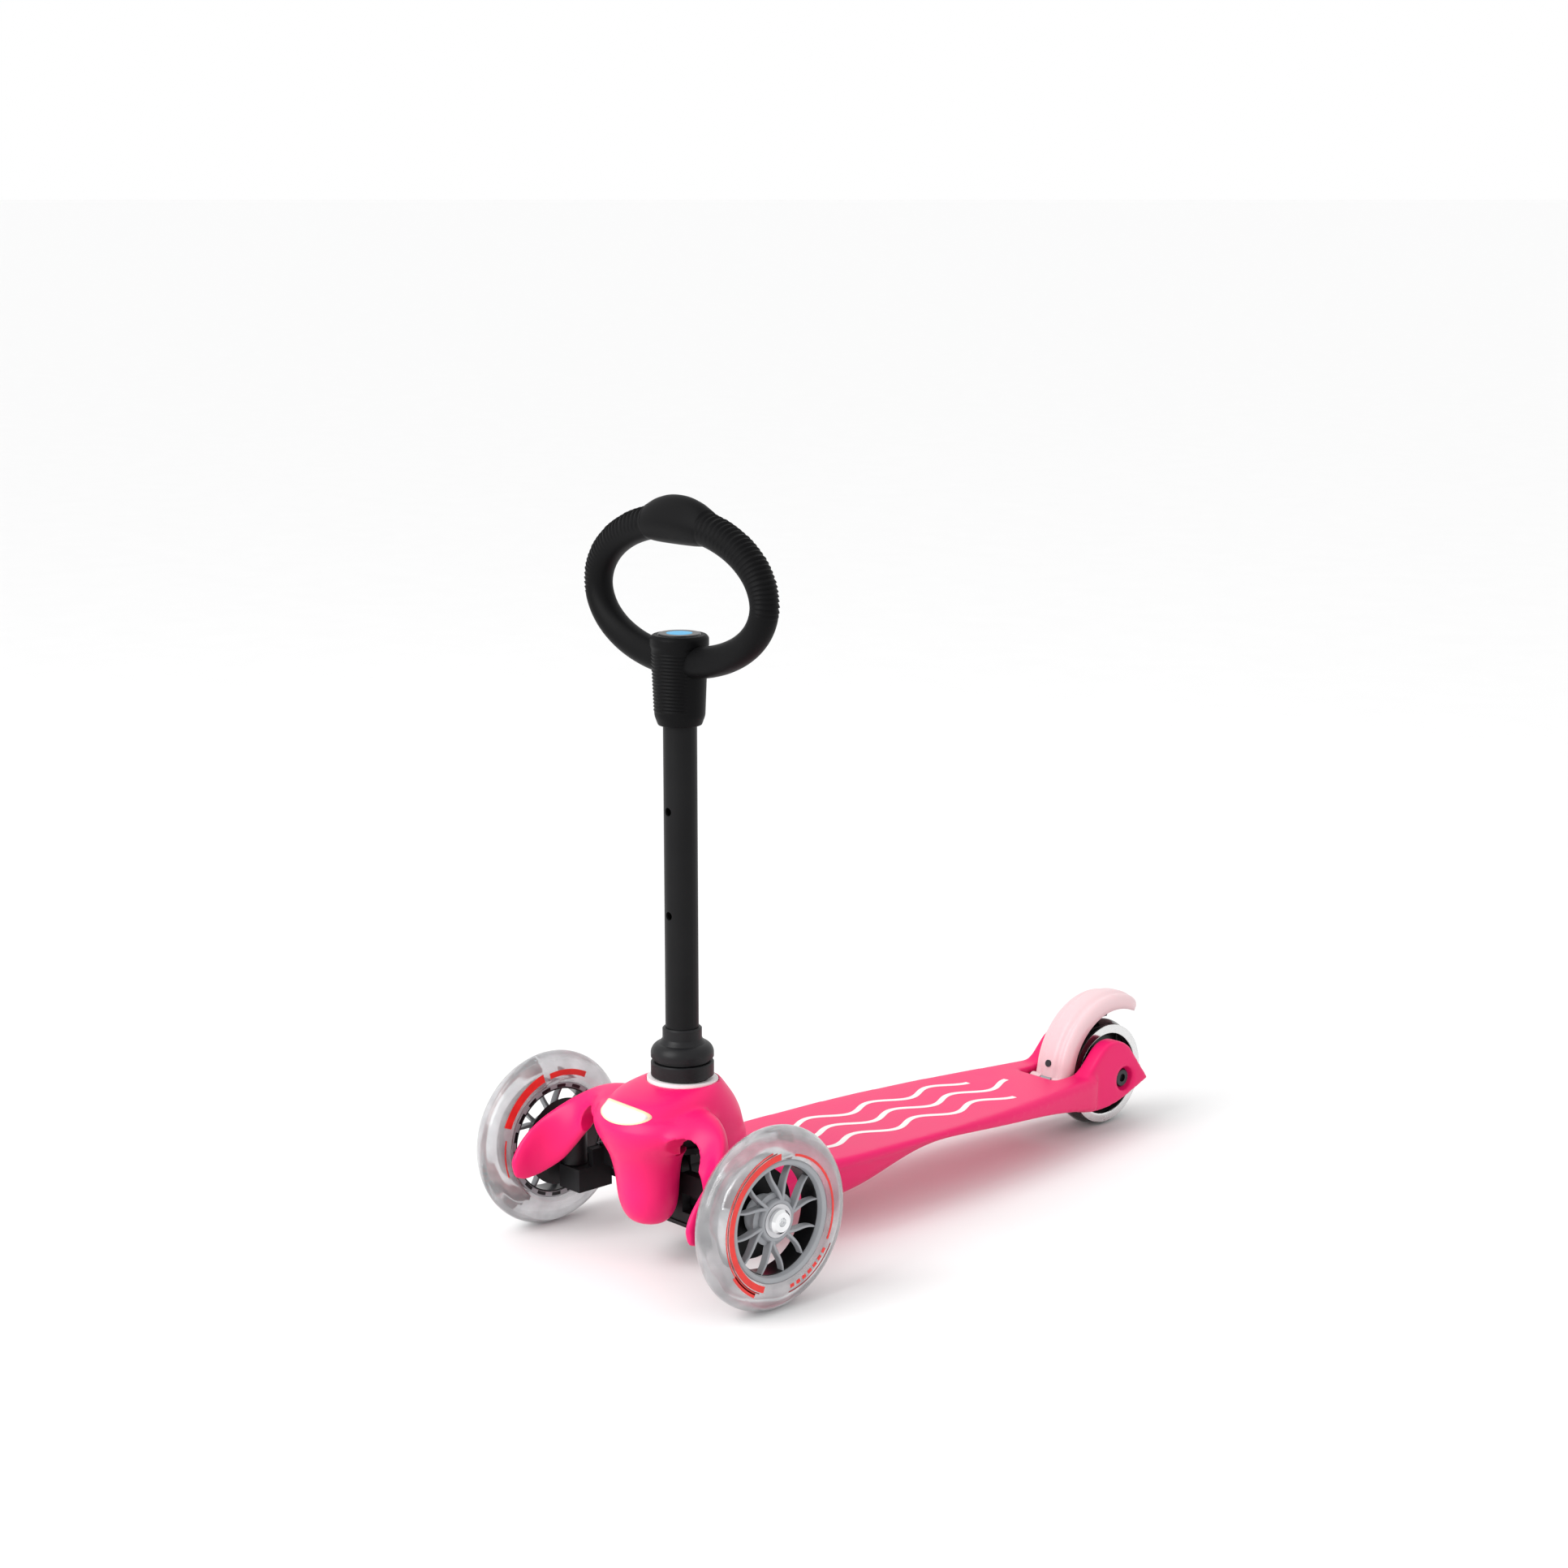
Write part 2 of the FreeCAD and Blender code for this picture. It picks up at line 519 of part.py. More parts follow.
def make_hood():
    """A dome round the column with a nose in front and a curved wing to each wheel."""
    axle = size("axle_y")
    outside = level_loft(DOME).fuse(level_loft(NOSE))
    rear_half = Part.makeBox(120, 90, 60, Vector(-60, axle + 24, 60))
    outside = outside.fuse(level_loft(SKIRT).common(rear_half))
    for side in (1, -1):
        outside = outside.fuse(wing_loft(side))
    inner_dome = level_loft(DOME[:-1], HOOD_WALL)
    inner_dome = inner_dome.fuse(level_loft(((80,) + DOME[0][1:], DOME[0]), HOOD_WALL))
    inner_nose = level_loft([(z + HOOD_WALL, *rest) for z, *rest in NOSE], HOOD_WALL)
    inner_skirt = level_loft(((60,) + SKIRT[0][1:],) + SKIRT, HOOD_WALL).common(rear_half)
    hood = outside
    for cavity in (inner_dome, inner_nose, inner_skirt):
        hood = hood.cut(cavity)
    nose_back = 11.2
    hood = hood.cut(Part.makeBox(90, 26 - nose_back, 61, Vector(-45, axle + nose_back, 25)))
    hood = hood.cut(Part.makeCylinder(28.6, 22.2, Vector(0, size("stem_y"), 70)))
    shaft_gap = Part.makeCylinder(10.5, 30, Vector(0, axle - 5, size("tilt_z")), Vector(0, 1, 0))
    hood = hood.cut(shaft_gap)
    for sign in (1, -1):
        arch = Part.makeCylinder(13, 62, Vector(sign * 43, axle - 40, 82), Vector(0, 1, 0))
        hood = hood.cut(arch)
        # room for the kingpin and its knuckle at full lean
        hood = hood.cut(Part.makeCylinder(10.5, 51, Vector(sign * 81, axle, 40)))
    neck = Part.makeCylinder(size("ring_radius") + 0.2, 30, Vector(0, size("stem_y"), 102))
    hood = hood.cut(neck)
    for sign in (1, -1):
        boss = Part.makeCylinder(4, 21.5, Vector(sign * 24, size("stem_y"), 92.2))
        hole = Part.makeCylinder(1.5, 10, Vector(sign * 24, size("stem_y"), 92))
        hood = hood.fuse(boss.common(level_loft(DOME))).cut(hole)
    node(shaped("hood", hood.Solids[0]), "hood")
    screws = []
    for side, sign in (("left", ""), ("right", "-")):
        screws.append(fuse("hood_screw_" + side, [
            cylinder("hood_thread_" + side, "1.45", "15", (sign + "24", "stem_y", "85.9")),
            cylinder("hood_head_" + side, "3", "1.9", (sign + "24", "stem_y", "84")),
        ]))
    node(group("hood_screws", screws), "hood_screws")


# ---------------------------------------------------------------- handle

def oval_ring():
    """A round tube bent to an oval: a tight arc at each side, a wide one above and below."""
    centre = Vector(0, size("stem_y"), size("o_bar_z"))
    wide = size("o_bar_half_width")
    high = size("o_bar_half_height")
    across = math.hypot(wide, high)
    tight_radius = across * (across - wide + high) / (2 * wide)
    broad_radius = across * (across + wide - high) / (2 * high)
    turn = math.degrees(math.atan2(broad_radius - high, wide - tight_radius))
    # each arc's centre from the ring's, its radius, the direction where it starts and its turn
    arcs = ((wide - tight_radius, 0, tight_radius, -turn, 2 * turn),
            (0, high - broad_radius, broad_radius, turn, 180 - 2 * turn),
            (tight_radius - wide, 0, tight_radius, 180 - turn, 2 * turn),
            (0, broad_radius - high, broad_radius, 180 + turn, 180 - 2 * turn))
    tubes = []
    for x, z, radius, start, sweep in arcs:
        middle = centre + Vector(x, 0, z)
        along = Vector(math.cos(math.radians(start)), 0, math.sin(math.radians(start)))
        square = Vector(-along.z, 0, along.x)
        section = Part.makeCircle(size("o_bar_tube"), middle + along * radius, square)
        face = Part.Face(Part.Wire([section]))
        tubes.append(face.revolve(middle, Vector(0, -1, 0), sweep))
    return tubes[0].fuse(tubes[1:])


def make_handle():
    stem_at = ("0", "stem_y", "0")
    sleeve_body = turned("handle_sleeve", [
        ("stem_radius + 0.02", "sleeve_low"), ("sleeve_radius - 2.2", "sleeve_low"),
        ("sleeve_radius", "sleeve_low + 6"), ("sleeve_top_radius", "sleeve_high - 9"),
        ("sleeve_top_radius + 0.8", "sleeve_high - 7"), ("sleeve_top_radius + 0.8", "sleeve_high - 2"),
        ("sleeve_top_radius - 1.2", "sleeve_high"), ("14.3", "sleeve_high"),
        ("14.3", "stem_high + 0.1"), ("stem_radius + 0.02", "stem_high + 0.1"),
    ], stem_at)
    ring = oval_ring()
    knob_radius = (size("knob_top") - size("knob_bottom")) / 2
    knob_middle = Vector(0, size("stem_y"), size("knob_bottom") + knob_radius)
    swell = Part.Arc(Vector(-size("knob_half_width"), 0, 0), Vector(0, 0, knob_radius),
                     Vector(size("knob_half_width"), 0, 0))
    chord = Part.LineSegment(Vector(size("knob_half_width"), 0, 0),
                             Vector(-size("knob_half_width"), 0, 0))
    lens = Part.Face(Part.Wire([swell.toShape(), chord.toShape()]))
    knob = lens.revolve(Vector(0, 0, 0), Vector(1, 0, 0), 360)
    depth = size("knob_half_depth")
    knob = knob.common(Part.makeBox(60, 2 * depth, 40, Vector(-30, -depth, -20)))
    knob.translate(knob_middle)
    bore = Part.makeCylinder(size("sleeve_radius"), 80, Vector(0, size("stem_y"), size("sleeve_low")))
    screw_hole = Part.makeCylinder(1.8, 12, Vector(0, size("stem_y + stem_radius - 2"), 378),
                                   Vector(0, 1, 0))
    doc.recompute()
    handle = sleeve_body.Shape.fuse(ring.fuse(knob).cut(bore)).cut(screw_hole)
    node(shaped("o_bar", handle.Solids[0]), "o_bar")
    node(turned("o_bar_cap", [
        ("0", "stem_high + 0.3"), ("14.1", "stem_high + 0.3"), ("14.1", "sleeve_high"),
        ("13.3", "sleeve_high + 0.8"), ("0", "sleeve_high + 0.8"),
    ], stem_at), "o_bar_cap")
    node(fuse("o_bar_screw", [
        cylinder("o_bar_screw_thread", "1.75", "6.5", ("0", "stem_y + stem_radius + 0.1", "378"), "+Y"),
        cylinder("o_bar_screw_head", "3.2", "1.6", ("0", "stem_y + 17.3", "378"), "+Y"),
    ]), "o_bar_screw")


# ---------------------------------------------------------------- deck

# y from the front axle: half width, edge bottom, keel half width, keel bottom
DECK_SECTIONS = ((60, 34, 42, 24, 32), (84, 45, 45, 30, 25), (110, 53, 48.5, 34, 22),
                 (140, 55, 49, 35, 21), (175, 55, 49, 33, 26.5), (210, 55, 48.5, 31, 36),
                 (250, 53.5, 45, 31, 41.5), (295, 50.5, 40.5, 30, 37.5), (350, 43, 33.5, 27, 30.5),
                 (384, 38, 27, 25, 24.5), (402, 34.5, 23, 24, 21.5))


def deck_top(y_from_axle):
    """Height of the deck's flat top, which falls gently to the rear."""
    slope = math.tan(math.radians(size("deck_fall")))
    return size("deck_height") - slope * (y_from_axle - 110)


def deck_wire(y_from_axle, half, edge, keel, bottom):
    """One cross-section: flat top, round shoulders, thin edge and a keel below."""
    y = size("axle_y") + y_from_axle
    top = deck_top(y_from_axle) + 0.4
    radius = min(6.0, (top - edge) * 0.5)

    def at(x, z):
        return Vector(x, y, z)

    right = []
    right.append(Part.Arc(at(half - radius, top), at(half - 0.293 * radius, top - 0.293 * radius),
                          at(half, top - radius)))
    right.append(Part.LineSegment(at(half, top - radius), at(half - 1.5, edge + 0.8)))
    belly = Part.BezierCurve()
    belly.setPoles([at(half - 1.5, edge + 0.8), at(half - 6, edge - 1), at(keel + 6, bottom + 1),
                    at(keel - 8, bottom)])
    right.append(belly)
    edges = [curve.toShape() for curve in right]
    left = [edge_shape.mirror(Vector(0, 0, 0), Vector(1, 0, 0)) for edge_shape in edges]
    top_line = Part.LineSegment(at(-half + radius, top), at(half - radius, top)).toShape()
    low_line = Part.LineSegment(at(keel - 8, bottom), at(-keel + 8, bottom)).toShape()
    return Part.Wire(Part.__sortEdges__([top_line] + edges + [low_line] + left))


def ear_profile(axle):
    """Side outline of a rear ear as a closed face at x = 0."""
    def at(y, z):
        return Vector(0, axle + y, z)

    hump = Part.BSplineCurve()
    hump.interpolate([at(384, 49.5), at(399, 55), at(411, 66.5), at(421, 71), at(432, 69.5), at(442, 63)])
    back = Part.LineSegment(at(442, 63), at(463, 35.5))
    heel = Part.BSplineCurve()
    heel.interpolate([at(463, 35.5), at(446, 29), at(424, 22.5), at(402, 21.5), at(384, 25)])
    front = Part.LineSegment(at(384, 25), at(384, 49.5))
    return Part.Face(Part.Wire([c.toShape() for c in (hump, back, heel, front)]))


def make_deck():
    axle = size("axle_y")
    outer = size("ear_outer")
    inner = size("ear_inner")
    board = Part.makeLoft([deck_wire(*section) for section in DECK_SECTIONS], True, False)
    above = Part.makeBox(200, 500, 60, Vector(-100, -60, 0))
    above.rotate(Vector(0, 0, 0), Vector(1, 0, 0), -size("deck_fall"))
    above.translate(Vector(0, axle + 110, size("deck_height")))
    board = board.cut(above)
    ears = ear_profile(axle).extrude(Vector(2 * outer, 0, 0))
    ears.translate(Vector(-outer, 0, 0))
    board = board.fuse(ears)
    slot = Part.makeBox(2 * inner, 120, 90, Vector(-inner, size("slot_front"), 0))
    board = board.cut(slot)
    rear_y = size("rear_axle_y")
    rear_z = size("rear_wheel_radius")
    board = board.cut(Part.makeCylinder(size("axle_radius"), 80, Vector(-40, rear_y, rear_z),
                                        Vector(1, 0, 0)))
    for sign in (1, -1):
        recess_at = Vector(sign * (outer - size("axle_recess")), rear_y, rear_z)
        recess = Part.makeCylinder(9, 12, recess_at, Vector(sign, 0, 0))
        board = board.cut(recess)
    board = board.cut(Part.makeCylinder(size("brake_pin_radius"), 64,
                                        Vector(-32, size("brake_pivot_y"), size("brake_pivot_z")),
                                        Vector(1, 0, 0)))
    tongue = Part.makeBox(40.6, 40, 22.2, Vector(-20.3, size("deck_front") - 11.7, 20))
    board = board.cut(tongue)
    for sign in (1, -1):
        board = board.cut(Part.makeCylinder(2.5, 8, Vector(sign * 12, size("deck_front + 16"), 42)))
    node(shaped("deck", board.removeSplitter()), "deck")


# ---------------------------------------------------------------- rear wheel mounting and brake

def make_rear_mounting():
    node(turned("rear_axle_bolt", [
        ("0", "-ear_outer + 3.5"), ("axle_radius - 0.02", "-ear_outer + 3.5"),
        ("axle_radius - 0.02", "ear_outer - axle_recess"), ("7", "ear_outer - axle_recess"),
        ("7", "ear_outer - axle_recess + 2.2"), ("6", "ear_outer - axle_recess + 3.2"),
        ("3", "ear_outer - axle_recess + 3.2"), ("3", "ear_outer - axle_recess + 1.2"),
        ("0", "ear_outer - axle_recess + 1.2"),
    ], ("0", "rear_axle_y", "rear_wheel_radius"), "+X"), "rear_axle_bolt")
    node(sleeve("rear_axle_nut", "7", "axle_radius", "ear_outer - axle_recess", "ear_outer - 2.5",
                ("0", "rear_axle_y", "rear_wheel_radius"), "-X"), "rear_axle_nut")
    spacers = []
    for name, axis, face in (("left", "+X", "hub_outer_face"), ("right", "-X", "hub_inner_face")):
        spacers.append(sleeve("rear_spacer_" + name, "5.8", "axle_radius", face + " + 0.15",
                              "ear_inner", ("0", "rear_axle_y", "rear_wheel_radius"), axis))
    node(group("rear_axle_spacers", spacers), "rear_axle_spacers")


def make_brake():
    """Sprung fender that is pressed down on the rear wheel, with its shoe and pin."""
    axle = Vector(0, size("rear_axle_y"), size("rear_wheel_radius"))
    centre = Vector(0, size("fender_y"), size("fender_z"))
    crown = size("fender_radius")
    half = size("fender_half_width")
    wall = size("fender_thickness")

    def arch(radius, half_width, rim):
        """Half-round cross-section above the wheel, as points in the plane over the axle."""
        return [Vector(-half_width, 0, rim), Vector(-half_width * 0.9, 0, radius - 5.5),
                Vector(0, 0, radius), Vector(half_width * 0.9, 0, radius - 5.5),
                Vector(half_width, 0, rim)]

    outer_curve = Part.BSplineCurve()
    outer_curve.interpolate(arch(crown, half, 48))
    inner_curve = Part.BSplineCurve()
    inner_curve.interpolate(arch(crown - wall, half - wall, 48))
    left_lip = Part.LineSegment(Vector(-half, 0, 48), Vector(-half + wall, 0, 48))
    right_lip = Part.LineSegment(Vector(half - wall, 0, 48), Vector(half, 0, 48))
    edges = [c.toShape() for c in (outer_curve, right_lip, inner_curve, left_lip)]
    face = Part.Face(Part.Wire(Part.__sortEdges__(edges)))
    # turned from the foot at the front of the wheel, over the top, to the raised rear end
    face.rotate(Vector(0, 0, 0), Vector(1, 0, 0), 90)
    skin = face.revolve(Vector(0, 0, 0), Vector(1, 0, 0), -132)
    skin.translate(centre)
    pivot = Vector(0, size("brake_pivot_y"), size("brake_pivot_z"))
    barrel_half = half - 0.2
    barrel = Part.makeCylinder(4.8, 2 * barrel_half, pivot - Vector(barrel_half, 0, 0), Vector(1, 0, 0))
    fender = skin.fuse(barrel)
    bore = Part.makeCylinder(size("brake_pin_radius") + 0.06, 50, pivot - Vector(25, 0, 0), Vector(1, 0, 0))
    gap = Part.makeCylinder(7, 11, pivot - Vector(5.5, 0, 0), Vector(1, 0, 0))
    screw_rise = math.radians(13)
    screw_at = centre + Vector(0, -crown * math.cos(screw_rise), crown * math.sin(screw_rise))
    inward = (centre - screw_at).normalize()
    screw = Part.makeCylinder(2.6, 2.2, screw_at - inward * 0.8, inward)
    screw = screw.fuse(Part.makeCylinder(1.5, 8, screw_at, inward))
    fender = fender.cut([bore, gap, screw])
    node(shaped("brake_fender", fender.removeSplitter()), "brake_fender")

    shoe_low = size("rear_wheel_radius + shoe_gap")
    shoe = Part.makeCylinder(crown - wall - 1.5, 20, centre - Vector(10, 0, 0), Vector(1, 0, 0))
    shoe = shoe.cut(Part.makeCylinder(shoe_low, 22, axle - Vector(11, 0, 0), Vector(1, 0, 0)))
    window = Part.makeBox(20, 34, 40, axle + Vector(-10, -14, 20))
    shoe = shoe.common(window).cut(fender).Solids[0]
    node(shaped("brake_shoe", shoe), "brake_shoe")
    node(shaped("brake_screw", screw), "brake_screw")
    node(cylinder("brake_pin_rod", "brake_pin_radius - 0.02", "60",
                  ("-30", "brake_pivot_y", "brake_pivot_z"), "+X"), "brake_pin")
    node(sleeve("brake_spring", "brake_pin_radius + 2.4", "brake_pin_radius + 0.6", "-4.8", "4.8",
                ("0", "brake_pivot_y", "brake_pivot_z"), "+X"), "brake_spring")


def check_and_write():
    doc.recompute()
    for item in doc.Objects:
        if "Invalid" in item.State or "Error" in item.State:
            raise RuntimeError("%s failed: %s" % (item.Name, item.State))
    os.makedirs("parts", exist_ok=True)
    for item in nodes:
        shape = item.Shape
        if shape.isNull() or not shape.isValid() or shape.Volume <= 0:
            raise RuntimeError(item.Label + " has no valid shape")
    for item in nodes:
        item.Shape.exportStep("parts/%s.step" % item.Label)
        print("%-22s %2d solid(s) %10.1f mm3" % (item.Label, len(item.Shape.Solids), item.Shape.Volume))


make_wheels()
make_front_frame()
make_knuckles()
make_rocker()
make_column()
make_hood()
make_handle()
make_deck()
make_rear_mounting()
make_brake()
check_and_write()
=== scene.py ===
"""Looks of a child's three-wheeled kick scooter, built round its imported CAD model."""
import json
import math

import bmesh
import bpy
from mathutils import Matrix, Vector
from mathutils.bvhtree import BVHTree


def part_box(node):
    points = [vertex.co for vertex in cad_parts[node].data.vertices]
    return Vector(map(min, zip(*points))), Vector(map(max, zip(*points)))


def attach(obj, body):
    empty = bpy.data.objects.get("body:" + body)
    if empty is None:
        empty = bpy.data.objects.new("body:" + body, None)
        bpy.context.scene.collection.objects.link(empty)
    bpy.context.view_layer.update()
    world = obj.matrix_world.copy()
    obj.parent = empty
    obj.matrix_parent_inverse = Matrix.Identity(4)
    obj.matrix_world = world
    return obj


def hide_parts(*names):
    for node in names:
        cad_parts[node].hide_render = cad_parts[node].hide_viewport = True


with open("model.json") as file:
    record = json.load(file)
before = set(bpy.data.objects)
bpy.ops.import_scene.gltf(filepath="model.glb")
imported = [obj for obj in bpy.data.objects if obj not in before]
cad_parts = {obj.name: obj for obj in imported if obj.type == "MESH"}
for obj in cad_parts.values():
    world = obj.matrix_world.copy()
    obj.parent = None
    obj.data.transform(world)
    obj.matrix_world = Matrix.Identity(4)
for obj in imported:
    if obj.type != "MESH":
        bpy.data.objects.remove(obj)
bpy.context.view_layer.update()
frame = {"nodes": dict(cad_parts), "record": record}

MM = 0.001
record = frame["record"]


def middle(node):
    low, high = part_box(node)
    return (low + high) / 2


FRONT_AXLE = middle("tyre_left")
REAR_AXLE = middle("tyre_rear")
STEM = middle("stem_tube")
AXLE_Y = FRONT_AXLE.y
HALF_TRACK = FRONT_AXLE.x


# ---------------------------------------------------------------- mesh helpers

def placed(name, data):
    """A new object for the data, in the scene."""
    item = bpy.data.objects.new(name, data)
    bpy.context.scene.collection.objects.link(item)
    return item


def finished(name, mesh, smooth=True):
    """An object for the mesh, with its doubles merged and its faces turned outwards."""
    work = bmesh.new()
    work.from_mesh(mesh)
    bmesh.ops.remove_doubles(work, verts=work.verts, dist=1e-6)
    bmesh.ops.dissolve_degenerate(work, edges=work.edges, dist=1e-7)
    bmesh.ops.recalc_face_normals(work, faces=work.faces)
    work.to_mesh(mesh)
    work.free()
    for face in mesh.polygons:
        face.use_smooth = smooth
    return placed(name, mesh)


def skin(name, rings, loop=False, smooth=True):
    """A closed mesh through rings of points that all have the same count."""
    count = len(rings[0])
    points = [point for ring in rings for point in ring]
    faces = []
    for i in range(len(rings) if loop else len(rings) - 1):
        near = i * count
        far = (i + 1) % len(rings) * count
        for k in range(count):
            after = (k + 1) % count
            faces.append((near + k, near + after, far + after, far + k))
    if not loop:
        faces.append(tuple(range(count))[::-1])
        faces.append(tuple(range((len(rings) - 1) * count, len(rings) * count)))
    mesh = bpy.data.meshes.new(name)
    mesh.from_pydata(points, [], faces)
    return finished(name, mesh, smooth)


def rounded(corners, radius, steps=4):
    """The closed outline with each corner eased; a corner's third number is its own radius."""
    flat = [Vector(corner[:2]) for corner in corners]
    outline = []
    for i, corner in enumerate(flat):
        own = corners[i][2] if len(corners[i]) > 2 else radius
        before = flat[i - 1] - corner
        after = flat[(i + 1) % len(flat)] - corner
        ease = min(own, 0.45 * before.length, 0.45 * after.length)
        if ease <= 0:
            outline.append(corner)
            continue
        start = corner + before.normalized() * ease
        end = corner + after.normalized() * ease
        for step in range(steps + 1):
            t = step / steps
            outline.append(start * (1 - t) ** 2 + corner * (2 * t * (1 - t)) + end * t ** 2)
    return outline


def lathe(name, outline, centre, axis="Z", segments=96, smooth=True, wave=None):
    """A turned piece from its outline (radius, height) in millimetres about an axis."""
    rings = []
    for step in range(segments):
        angle = 2 * math.pi * step / segments
        ring = []
        for radius, height in outline:
            radius = radius + (wave(angle, radius, height) if wave else 0)
            u = radius * math.cos(angle) * MM
            v = radius * math.sin(angle) * MM
            offset = {"Z": (u, v, height * MM), "X": (height * MM, u, v),
                      "-X": (-height * MM, u, v), "Y": (u, height * MM, v)}[axis]
            ring.append(centre + Vector(offset))
        rings.append(ring)
    return skin(name, rings, loop=True, smooth=smooth)


def joined(name, pieces):
    """One object from several, which are then removed."""
    work = bmesh.new()
    for piece in pieces:
        work.from_mesh(piece.data)
        bpy.data.objects.remove(piece)
    mesh = bpy.data.meshes.new(name)
    work.to_mesh(mesh)
    work.free()
    return placed(name, mesh)


def applied(piece):
    """The piece with its modifiers turned into plain mesh."""
    graph = bpy.context.evaluated_depsgraph_get()
    mesh = bpy.data.meshes.new_from_object(piece.evaluated_get(graph))
    piece.modifiers.clear()
    piece.data = mesh
    for face in mesh.polygons:
        face.use_smooth = True
    return piece


def remeshed(piece, voxel, rounds):
    """The piece as one even skin, with its creases smoothed into fillets."""
    remesh = piece.modifiers.new("skin", "REMESH")
    remesh.mode = "VOXEL"
    remesh.voxel_size = voxel * MM
    ease = piece.modifiers.new("ease", "SMOOTH")
    ease.factor = 0.5
    ease.iterations = rounds
    return applied(piece)


def cut_away(piece, tools):
    """The piece without the tools' space; the tools are removed."""
    for tool in tools:
        cut = piece.modifiers.new("cut", "BOOLEAN")
        cut.operation = "DIFFERENCE"
        cut.solver = "MANIFOLD"
        cut.object = tool
        applied(piece)
        bpy.data.objects.remove(tool)
    return piece


def through(rows, steps):
    """Rows of numbers with more rows between them, along a smooth curve through all."""
    dense = []
    for i in range(len(rows) - 1):
        p0 = rows[max(i - 1, 0)]
        p1 = rows[i]
        p2 = rows[i + 1]
        p3 = rows[min(i + 2, len(rows) - 1)]
        for step in range(steps):
            t = step / steps
            dense.append([0.5 * (2 * b + (c - a) * t + (2 * a - 5 * b + 4 * c - d) * t ** 2
                                 + (3 * b - a - 3 * c + d) * t ** 3)
                          for a, b, c, d in zip(p0, p1, p2, p3)])
    dense.append(list(rows[-1]))
    return dense


def surface(piece):
    """The piece's faces, ready for rays to be cast at them."""
    mesh = piece.data
    return BVHTree.FromPolygons([v.co for v in mesh.vertices], [f.vertices for f in mesh.polygons])


def riding(piece, body, replaces, finish):
    """Give a piece its body, the nodes it stands for and its material."""
    piece.data.materials.clear()
    piece.data.materials.append(finish)
    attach(piece, body)
    if replaces:
        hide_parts(*replaces)
    return piece


# ---------------------------------------------------------------- materials

def blank(name):
    """A new node material, its node tree and its shader."""
    material = bpy.data.materials.new(name)
    material.use_nodes = True
    return material, material.node_tree, material.node_tree.nodes["Principled BSDF"]


def added(tree, kind, **values):
    """A node of one kind with its values set; an underscore in a key stands for a space."""
    node = tree.nodes.new("ShaderNode" + kind)
    for key, value in values.items():
        node.inputs[key.replace("_", " ")].default_value = value
    return node


def noise(tree, scale, detail, stretch=None):
    """A cloudy pattern in the object's own space, which may be stretched."""
    cloud = added(tree, "TexNoise", Scale=scale, Detail=detail)
    place = added(tree, "TexCoord").outputs["Object"]
    if stretch:
        mapping = added(tree, "Mapping", Scale=stretch)
        tree.links.new(place, mapping.inputs["Vector"])
        place = mapping.outputs["Vector"]
    tree.links.new(place, cloud.inputs["Vector"])
    return cloud.outputs["Fac"]


def toned(tree, shader, cloud, tones, stops=(0.0, 1.0)):
    """A base colour that runs between two tones with the cloud."""
    ramp = added(tree, "ValToRGB")
    for element, stop, tone in zip(ramp.color_ramp.elements, stops, tones):
        element.position = stop
        element.color = (*tone, 1)
    tree.links.new(cloud, ramp.inputs["Fac"])
    tree.links.new(ramp.outputs["Color"], shader.inputs["Base Color"])


def glossed(tree, shader, cloud, low, high):
    """A roughness that runs between two values with the cloud."""
    span = added(tree, "MapRange", To_Min=low, To_Max=high)
    tree.links.new(cloud, span.inputs["Value"])
    tree.links.new(span.outputs["Result"], shader.inputs["Roughness"])


def grained(tree, shader, cloud, strength, distance):
    """Fine bumps that follow the cloud."""
    bump = added(tree, "Bump", Strength=strength, Distance=distance)
    tree.links.new(cloud, bump.inputs["Height"])
    tree.links.new(bump.outputs["Normal"], shader.inputs["Normal"])


def moulded(name, colour, shade, roughness, grain=0.04, grain_size=900.0, mottle=14.0,
            specular=0.5, coat=0.0, subsurface=0.0):
    """A moulded or painted surface: slightly uneven colour and gloss over a fine grain."""
    material, tree, shader = blank(name)
    spread = 0.08
    cloud = noise(tree, mottle, 3)
    toned(tree, shader, cloud, (shade, colour), (0.3, 0.7))
    glossed(tree, shader, cloud, roughness - spread, roughness + spread)
    grained(tree, shader, noise(tree, grain_size, 2), grain, 0.0004)
    shader.inputs["Specular IOR Level"].default_value = specular
    if coat:
        shader.inputs["Coat Weight"].default_value = coat
        shader.inputs["Coat Roughness"].default_value = 0.2
    if subsurface:
        shader.inputs["Subsurface Weight"].default_value = subsurface
        shader.inputs["Subsurface Radius"].default_value = (0.006, 0.003, 0.003)
        shader.inputs["Subsurface Scale"].default_value = 0.5
    return material


def printed(name, colour, shade, roughness=0.42, mottle=200.0):
    """Ink: a moulded surface with a much finer mottle."""
    return moulded(name + "_looks", colour, shade, roughness, mottle=mottle)


def brushed(name, colour, roughness, streak=260.0):
    """Worked metal with fine streaks in its gloss."""
    material, tree, shader = blank(name)
    shader.inputs["Metallic"].default_value = 1
    lines = noise(tree, 1.0, 4, (streak * 4, streak, streak))
    toned(tree, shader, lines, ([channel * 0.8 for channel in colour], colour))
    glossed(tree, shader, lines, roughness * 0.7, roughness * 1.4)
    return material


